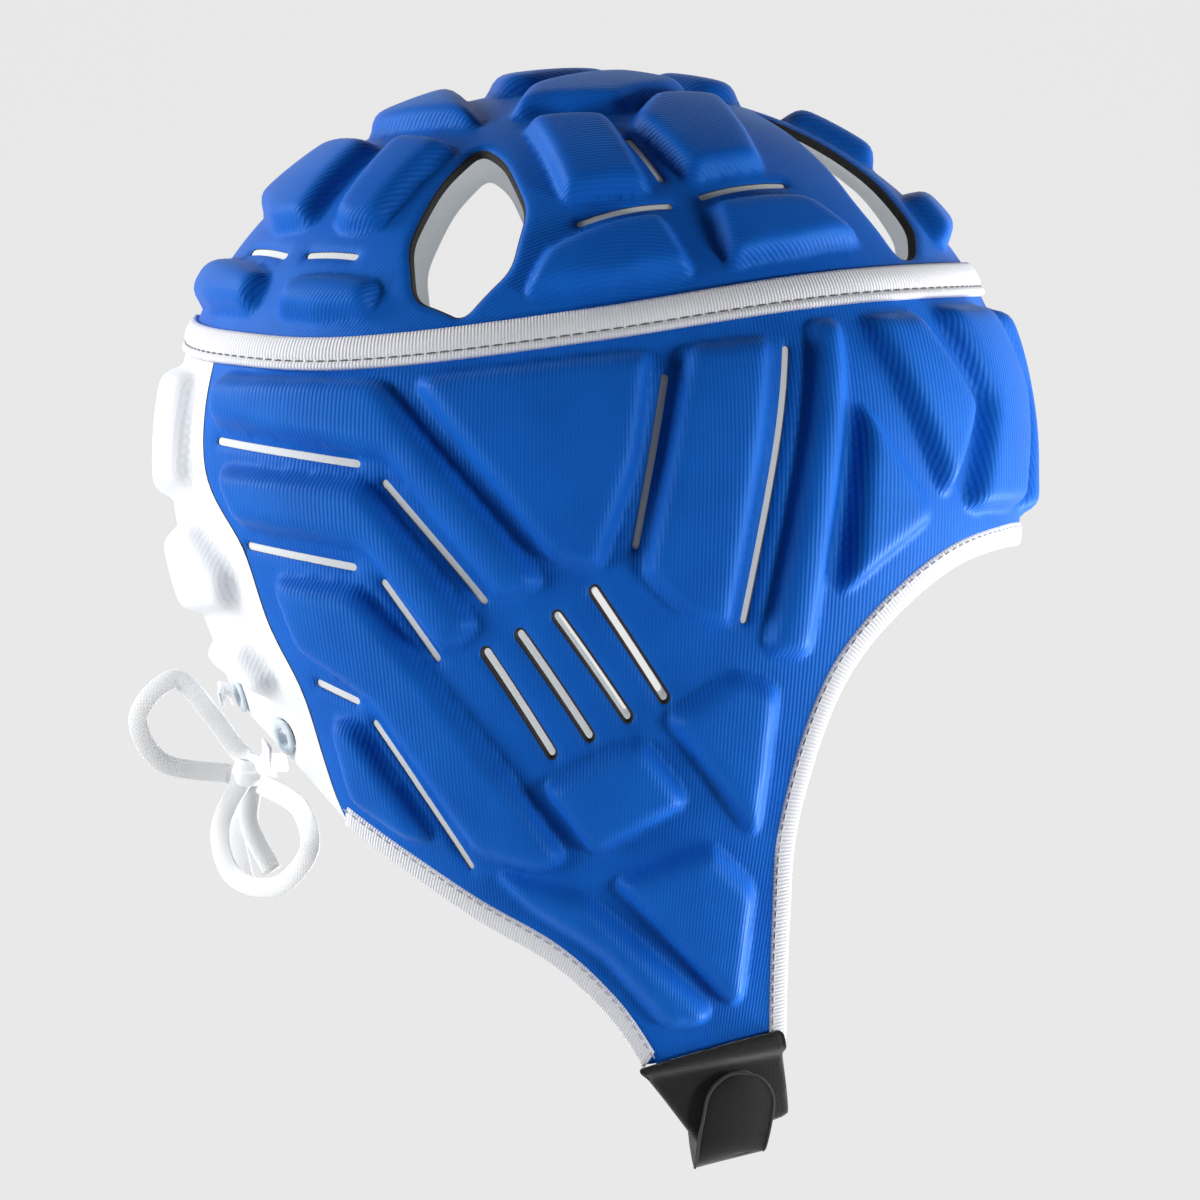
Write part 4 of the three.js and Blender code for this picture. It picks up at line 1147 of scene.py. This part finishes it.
def stitch_nodes():
    """Stitches along a line: a thin stretched ball at even steps, turned along the line."""
    tree = bpy.data.node_groups.new("stitch_row", "GeometryNodeTree")
    sockets = tree.interface
    sockets.new_socket("Geometry", in_out="INPUT", socket_type="NodeSocketGeometry")
    for name, value in (("Pitch", 0.003), ("Length", 0.0022), ("Thread", 0.0005)):
        sockets.new_socket(name, in_out="INPUT", socket_type="NodeSocketFloat").default_value = value
    sockets.new_socket("Material", in_out="INPUT", socket_type="NodeSocketMaterial")
    sockets.new_socket("Geometry", in_out="OUTPUT", socket_type="NodeSocketGeometry")
    given = tree.nodes.new("NodeGroupInput")
    result = tree.nodes.new("NodeGroupOutput")
    line = tree.nodes.new("GeometryNodeMeshToCurve")
    points = tree.nodes.new("GeometryNodeCurveToPoints")
    points.mode = "LENGTH"
    stitch = tree.nodes.new("GeometryNodeMeshUVSphere")
    stitch.inputs["Segments"].default_value = 8
    stitch.inputs["Rings"].default_value = 6
    stitch.inputs["Radius"].default_value = 0.5
    size = tree.nodes.new("ShaderNodeCombineXYZ")
    shaped = tree.nodes.new("GeometryNodeTransform")
    copies = tree.nodes.new("GeometryNodeInstanceOnPoints")
    realized = tree.nodes.new("GeometryNodeRealizeInstances")
    smooth = tree.nodes.new("GeometryNodeSetShadeSmooth")
    thread = tree.nodes.new("GeometryNodeSetMaterial")
    wire(tree, [
        (given, "Geometry", line, "Mesh"), (line, "Curve", points, "Curve"),
        (given, "Pitch", points, "Length"), (given, "Thread", size, "X"), (given, "Thread", size, "Y"),
        (given, "Length", size, "Z"), (stitch, "Mesh", shaped, "Geometry"),
        (size, "Vector", shaped, "Scale"), (points, "Points", copies, "Points"),
        (shaped, "Geometry", copies, "Instance"), (points, "Rotation", copies, "Rotation"),
        (copies, "Instances", realized, "Geometry"), (realized, "Geometry", smooth, "Geometry"),
        (smooth, "Geometry", thread, "Geometry"), (given, "Material", thread, "Material"),
        (thread, "Geometry", result, "Geometry"),
    ])
    return tree


stitch_row = stitch_nodes()
grey_thread = speckled_material("grey_thread", (0.2, 0.2, 0.21), (0.1, 0.1, 0.11), 3000, 0.8, 0.00005)
pale_thread = speckled_material("pale_thread", (0.5, 0.51, 0.55), (0.36, 0.37, 0.4), 3000, 0.8, 0.00005)


def stitches(name, course, across, out, thread, values):
    """One row of stitches beside a course of the band's chart, as a plain mesh."""
    course = evenly(course, stitch_step)
    side = to_side(np.gradient(course, axis=0))
    points = bend_band(course + side * across, np.full(len(course), out))
    row = new_piece(name, [], [], [])
    row.data.from_pydata(points.tolist(), [(i, i + 1) for i in range(len(points) - 1)], [])
    modifier = row.modifiers.new("stitches", "NODES")
    modifier.node_group = stitch_row
    sockets = {s.name: s.identifier for s in stitch_row.interface.items_tree if s.in_out == "INPUT"}
    for key, value in {**values, "Material": thread}.items():
        modifier[sockets[key]] = value
    bpy.context.view_layer.update()
    made = bpy.data.meshes.new_from_object(row.evaluated_get(bpy.context.evaluated_depsgraph_get()))
    row.modifiers.remove(modifier)
    row.data = made
    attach(row, "root")


seam_stitch = {"Pitch": 0.0031, "Length": 0.0025, "Thread": 0.0005}
fold_stitch = {"Pitch": 0.0026, "Length": 0.0019, "Thread": 0.00045}
stitches("seam_stitches", seam_course, stitch_line, tape_low + 2 * thread_height, grey_thread, seam_stitch)
fold_rows = {
    "face_stitches": face_course,
    "right_jaw_stitches": right_jaw_course,
    "left_jaw_stitches": left_jaw_course[::-1],
}
for name, course in fold_rows.items():
    stitches(name, course, fold_stitch_line, sheet_thickness + thread_height, pale_thread, fold_stitch)

# The eyelets.
# Four small rings of light blue-grey plastic with a round flange, set in the nape.
# The lace goes through them.


def plastic_material():
    material, tree, shader = cloth_material("eyelet_plastic", (0.6, 0.68, 0.74), 0.32)
    place = node(tree, "ShaderNodeTexCoord")
    grain = node(tree, "ShaderNodeTexNoise", Scale=900.0, Detail=2.0)
    bump = node(tree, "ShaderNodeBump", Strength=0.12, Distance=0.0001)
    wire(tree, [
        (place, "Object", grain, "Vector"), (grain, "Fac", bump, "Height"),
        (bump, "Normal", shader, "Normal"),
    ])
    return material


eyelet_plastic = plastic_material()
eyelet_bore = 0.002
eyelet_profile = [
    (eyelet_bore, 0.0002), (0.0028, 0.0002), (0.0028, 0.0037), (0.0042, 0.0037), (0.0045, 0.004),
    (0.0043, 0.0044), (0.0035, 0.0047), (0.0026, 0.0046), (0.0021, 0.0042), (eyelet_bore, 0.0036),
]


def eyelet(name, turn, drop, sides=40):
    """The profile turned round the head form's normal at its place."""
    foot = placed(turn, drop, 0.0)
    normal = Vector(placed(turn, drop, 0.001) - foot).normalized()
    turned = Vector((0, 0, 1)).rotation_difference(normal).to_matrix()
    points = []
    for i in range(sides):
        angle = 2 * math.pi * i / sides
        for radius, height in eyelet_profile:
            upright = Vector((radius * math.cos(angle), radius * math.sin(angle), height))
            points.append(turned @ upright + Vector(foot))
    faces = [face[::-1] for face in tube_faces(sides, len(eyelet_profile), True)]
    return new_piece(name, points, faces, [eyelet_plastic])


for which, (turn, drop) in eyelets.items():
    for side, at in (("right", turn), ("left", 360 - turn)):
        ring = eyelet(f"{which}_ring_{side}", at, drop)
        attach(ring, "root")
        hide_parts(f"{which}_{side}")

# The chin fastening.
# Black hook-and-loop: a napped patch sewn to the end of each jaw flap, and a strap from the right patch,
# where its round end is pressed on, under the chin to the left patch.

patch_low = 0.001
patch_thickness = 0.0026
chin_patch = [(79.5, 0.8745), (48.5, 0.839), (42.5, 0.92), (61, 0.952)]
jaw_end = [(79.5, 0.8785), (45.5, 0.8535)]
over_jaw = 0.0037
strap_turn = 55
strap_drops = [0.877, 0.882, 0.892, 0.925, 0.956]
strap_under = [(0.86, 0.62), (0.68, 0.88), (0.4, 0.98)]
strap_width = 0.017
strap_thickness = 0.0016
strap_sag = 0.002
strap_tilt = 0.22
strap_rise = 0.0015
strap_step = 0.0007
strap_end_share = 0.06
strap_sides = 20
strap_edge_share = 0.12
# The cut edge round the free end: its length, section, points, and where it lies on the strap
edge_length = 0.03
edge_width = 0.0006
edge_thickness = 0.0005
edge_step = 0.0008
edge_stride = 3
edge_inset = 0.0002
edge_height_share = 0.42

# The patch's own edge, and how it climbs onto the jaw flap: over what length, from where, and how far
# its outer side follows
patch_step = 0.0011
patch_rim_step = 0.0008
patch_corner = 0.002
patch_soft_edge = 0.0012
patch_under_share = 0.9
patch_thinning = 0.4
lift_length = 0.0035
lift_start = 0.9
lift_outside = 0.75

napped_loop = speckled_material(
    "napped_loop", (0.02, 0.02, 0.021), (0.006, 0.006, 0.007), 2600, 0.95, 0.0005, 0.35,
)
strap_web = speckled_material(
    "strap_web", (0.012, 0.012, 0.013), (0.004, 0.004, 0.005), 1800, 0.8, 0.0002, 0.2,
)


def chin_patch_piece(name, points, end):
    """A napped patch. Above the line where the jaw flap ends, it lies on the flap."""
    outline = wound(finer(rounded(band_flat(points), patch_corner), patch_rim_step))
    flat, faces, numbers = flat_mesh([outline], patch_step, [])
    count = len(flat)
    edge = np.clip(distance_to(flat, outline) / patch_soft_edge, 0, 1)
    soft = np.sqrt(1 - (1 - edge) ** 2)
    first, last = band_flat(end)
    along = (last - first) / np.linalg.norm(last - first)
    above = (flat - first) @ np.array((-along[1], along[0]))
    above = -above if above[flat[:, 1].argmax()] > 0 else above
    share = np.clip(above / lift_length + lift_start, 0, 1)
    lift = over_jaw * share**2 * (3 - 2 * share)
    half = patch_thickness / 2 * (1 - patch_thinning * share)
    top = patch_low + patch_thickness / 2 + lift * lift_outside + half * soft
    bottom = patch_low + patch_thickness / 2 + lift - half * soft * patch_under_share
    places = np.vstack([bend_band(flat, top), bend_band(flat, bottom)])
    both_sides = faces.tolist() + (faces[:, ::-1] + count).tolist()
    both_sides += [(b, a, c, d) for a, b, c, d in rims(numbers[0], numbers[0] + count)]
    piece = new_piece(name, places.tolist(), both_sides, [napped_loop])
    grid_uv(piece.data, np.vstack([flat, flat]))
    return piece


chin_sides = {"right": (chin_patch, jaw_end), "left": (other_side(chin_patch), other_side(jaw_end))}
for side, (points, end) in chin_sides.items():
    patch = chin_patch_piece(f"chin_patch_nap_{side}", points, end)
    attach(patch, "root")
    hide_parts(f"chin_patch_{side}")


def strap_route():
    """The middle line of the strap and the direction of its width, from the right patch to the left one."""
    out = patch_low + patch_thickness + layer_gap + strap_thickness / 2
    rows = []
    for drop in strap_drops:
        level = level_at(drop * whole_depth)
        across = hollow_point(strap_turn - 1.0, level) - hollow_point(strap_turn + 1.0, level)
        rows.append((head_point(strap_turn, level, out), across / np.linalg.norm(across)))
    last_place, last_across = rows[-1]
    last_across = last_across + (0, 0, strap_tilt)
    last_place = last_place + (0, 0, strap_rise)
    rows[-1] = (last_place, last_across / np.linalg.norm(last_across))
    for side, sag in strap_under:
        place = last_place * (side, 1, 1) - (0, 0, strap_sag * sag)
        across = last_across * side + np.array((0, -1, strap_tilt)) * (1 - side)
        rows.append((place, across / np.linalg.norm(across)))
    middle = (last_place * (0, 1, 1) - (0, 0, strap_sag), np.array((0, -1.0, strap_tilt)))
    left = [(place * (-1, 1, 1), across * (-1, 1, 1)) for place, across in rows[::-1]]
    return [*rows, middle, *left]


def strap_lines():
    """The strap's middle line, its two directions and its width, at even steps."""
    route = strap_route()
    path = smooth_path([place for place, _ in route], strap_step)
    nearest = [int(np.linalg.norm(path - place, axis=1).argmin()) for place, _ in route]
    directions = np.array([direction for _, direction in route])
    across = np.stack([np.interp(np.arange(len(path)), nearest, column) for column in directions.T], axis=1)
    along = np.gradient(path, axis=0)
    along /= np.linalg.norm(along, axis=1, keepdims=True)
    out = np.cross(along, across)
    out /= np.linalg.norm(out, axis=1, keepdims=True)
    side = np.cross(out, along)
    round_end = np.clip(way_along(path) / (strap_width / 2), 0, 1)
    width = strap_width * np.maximum(np.sqrt(1 - (1 - round_end) ** 2), strap_end_share)
    return path, side, out, width


def strap_rim(reach):
    """The edge of the strap's outer face round its free end."""
    path, side, out, width = strap_lines()
    count = round(reach / strap_step)
    outer = path + out * np.where(out[:, :1] < 0, 1, -1) * strap_thickness * edge_height_share
    edges = [outer + side * sign * (width[:, None] / 2 - edge_inset) for sign in (1, -1)]
    first, second = (edge[1:count:edge_stride] for edge in edges)
    return smooth_path(np.vstack([first[::-1], second]), edge_step)


def strap_mesh(name):
    path, side, out, width = strap_lines()
    section = np.array(flat_oval(1.0, strap_edge_share, strap_sides))[::-1]
    section /= np.abs(section).max(axis=0)
    rings = (
        path[:, None]
        + side[:, None] * (section[None, :, :1] * width[:, None, None] / 2)
        + out[:, None] * (section[None, :, 1:] * strap_thickness / 2)
    )
    faces = tube_faces(len(path), len(section))
    return new_piece(name, rings.reshape(-1, 3).tolist(), faces, [strap_web])


strap = strap_mesh("chin_strap_web")
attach(strap, "root")
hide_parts("chin_strap")

# The cut edge of the strap, a little paler than its face
edge_thread = speckled_material(
    "edge_thread", (0.075, 0.075, 0.08), (0.03, 0.03, 0.032), 2600, 0.95, 0.0002,
)
edge_section = flat_oval(edge_width, edge_thickness, 8)
strap_edge = swept("chin_strap_edge", strap_rim(edge_length), (-1, 0, 0.1), edge_section, edge_thread)
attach(strap_edge, "root")
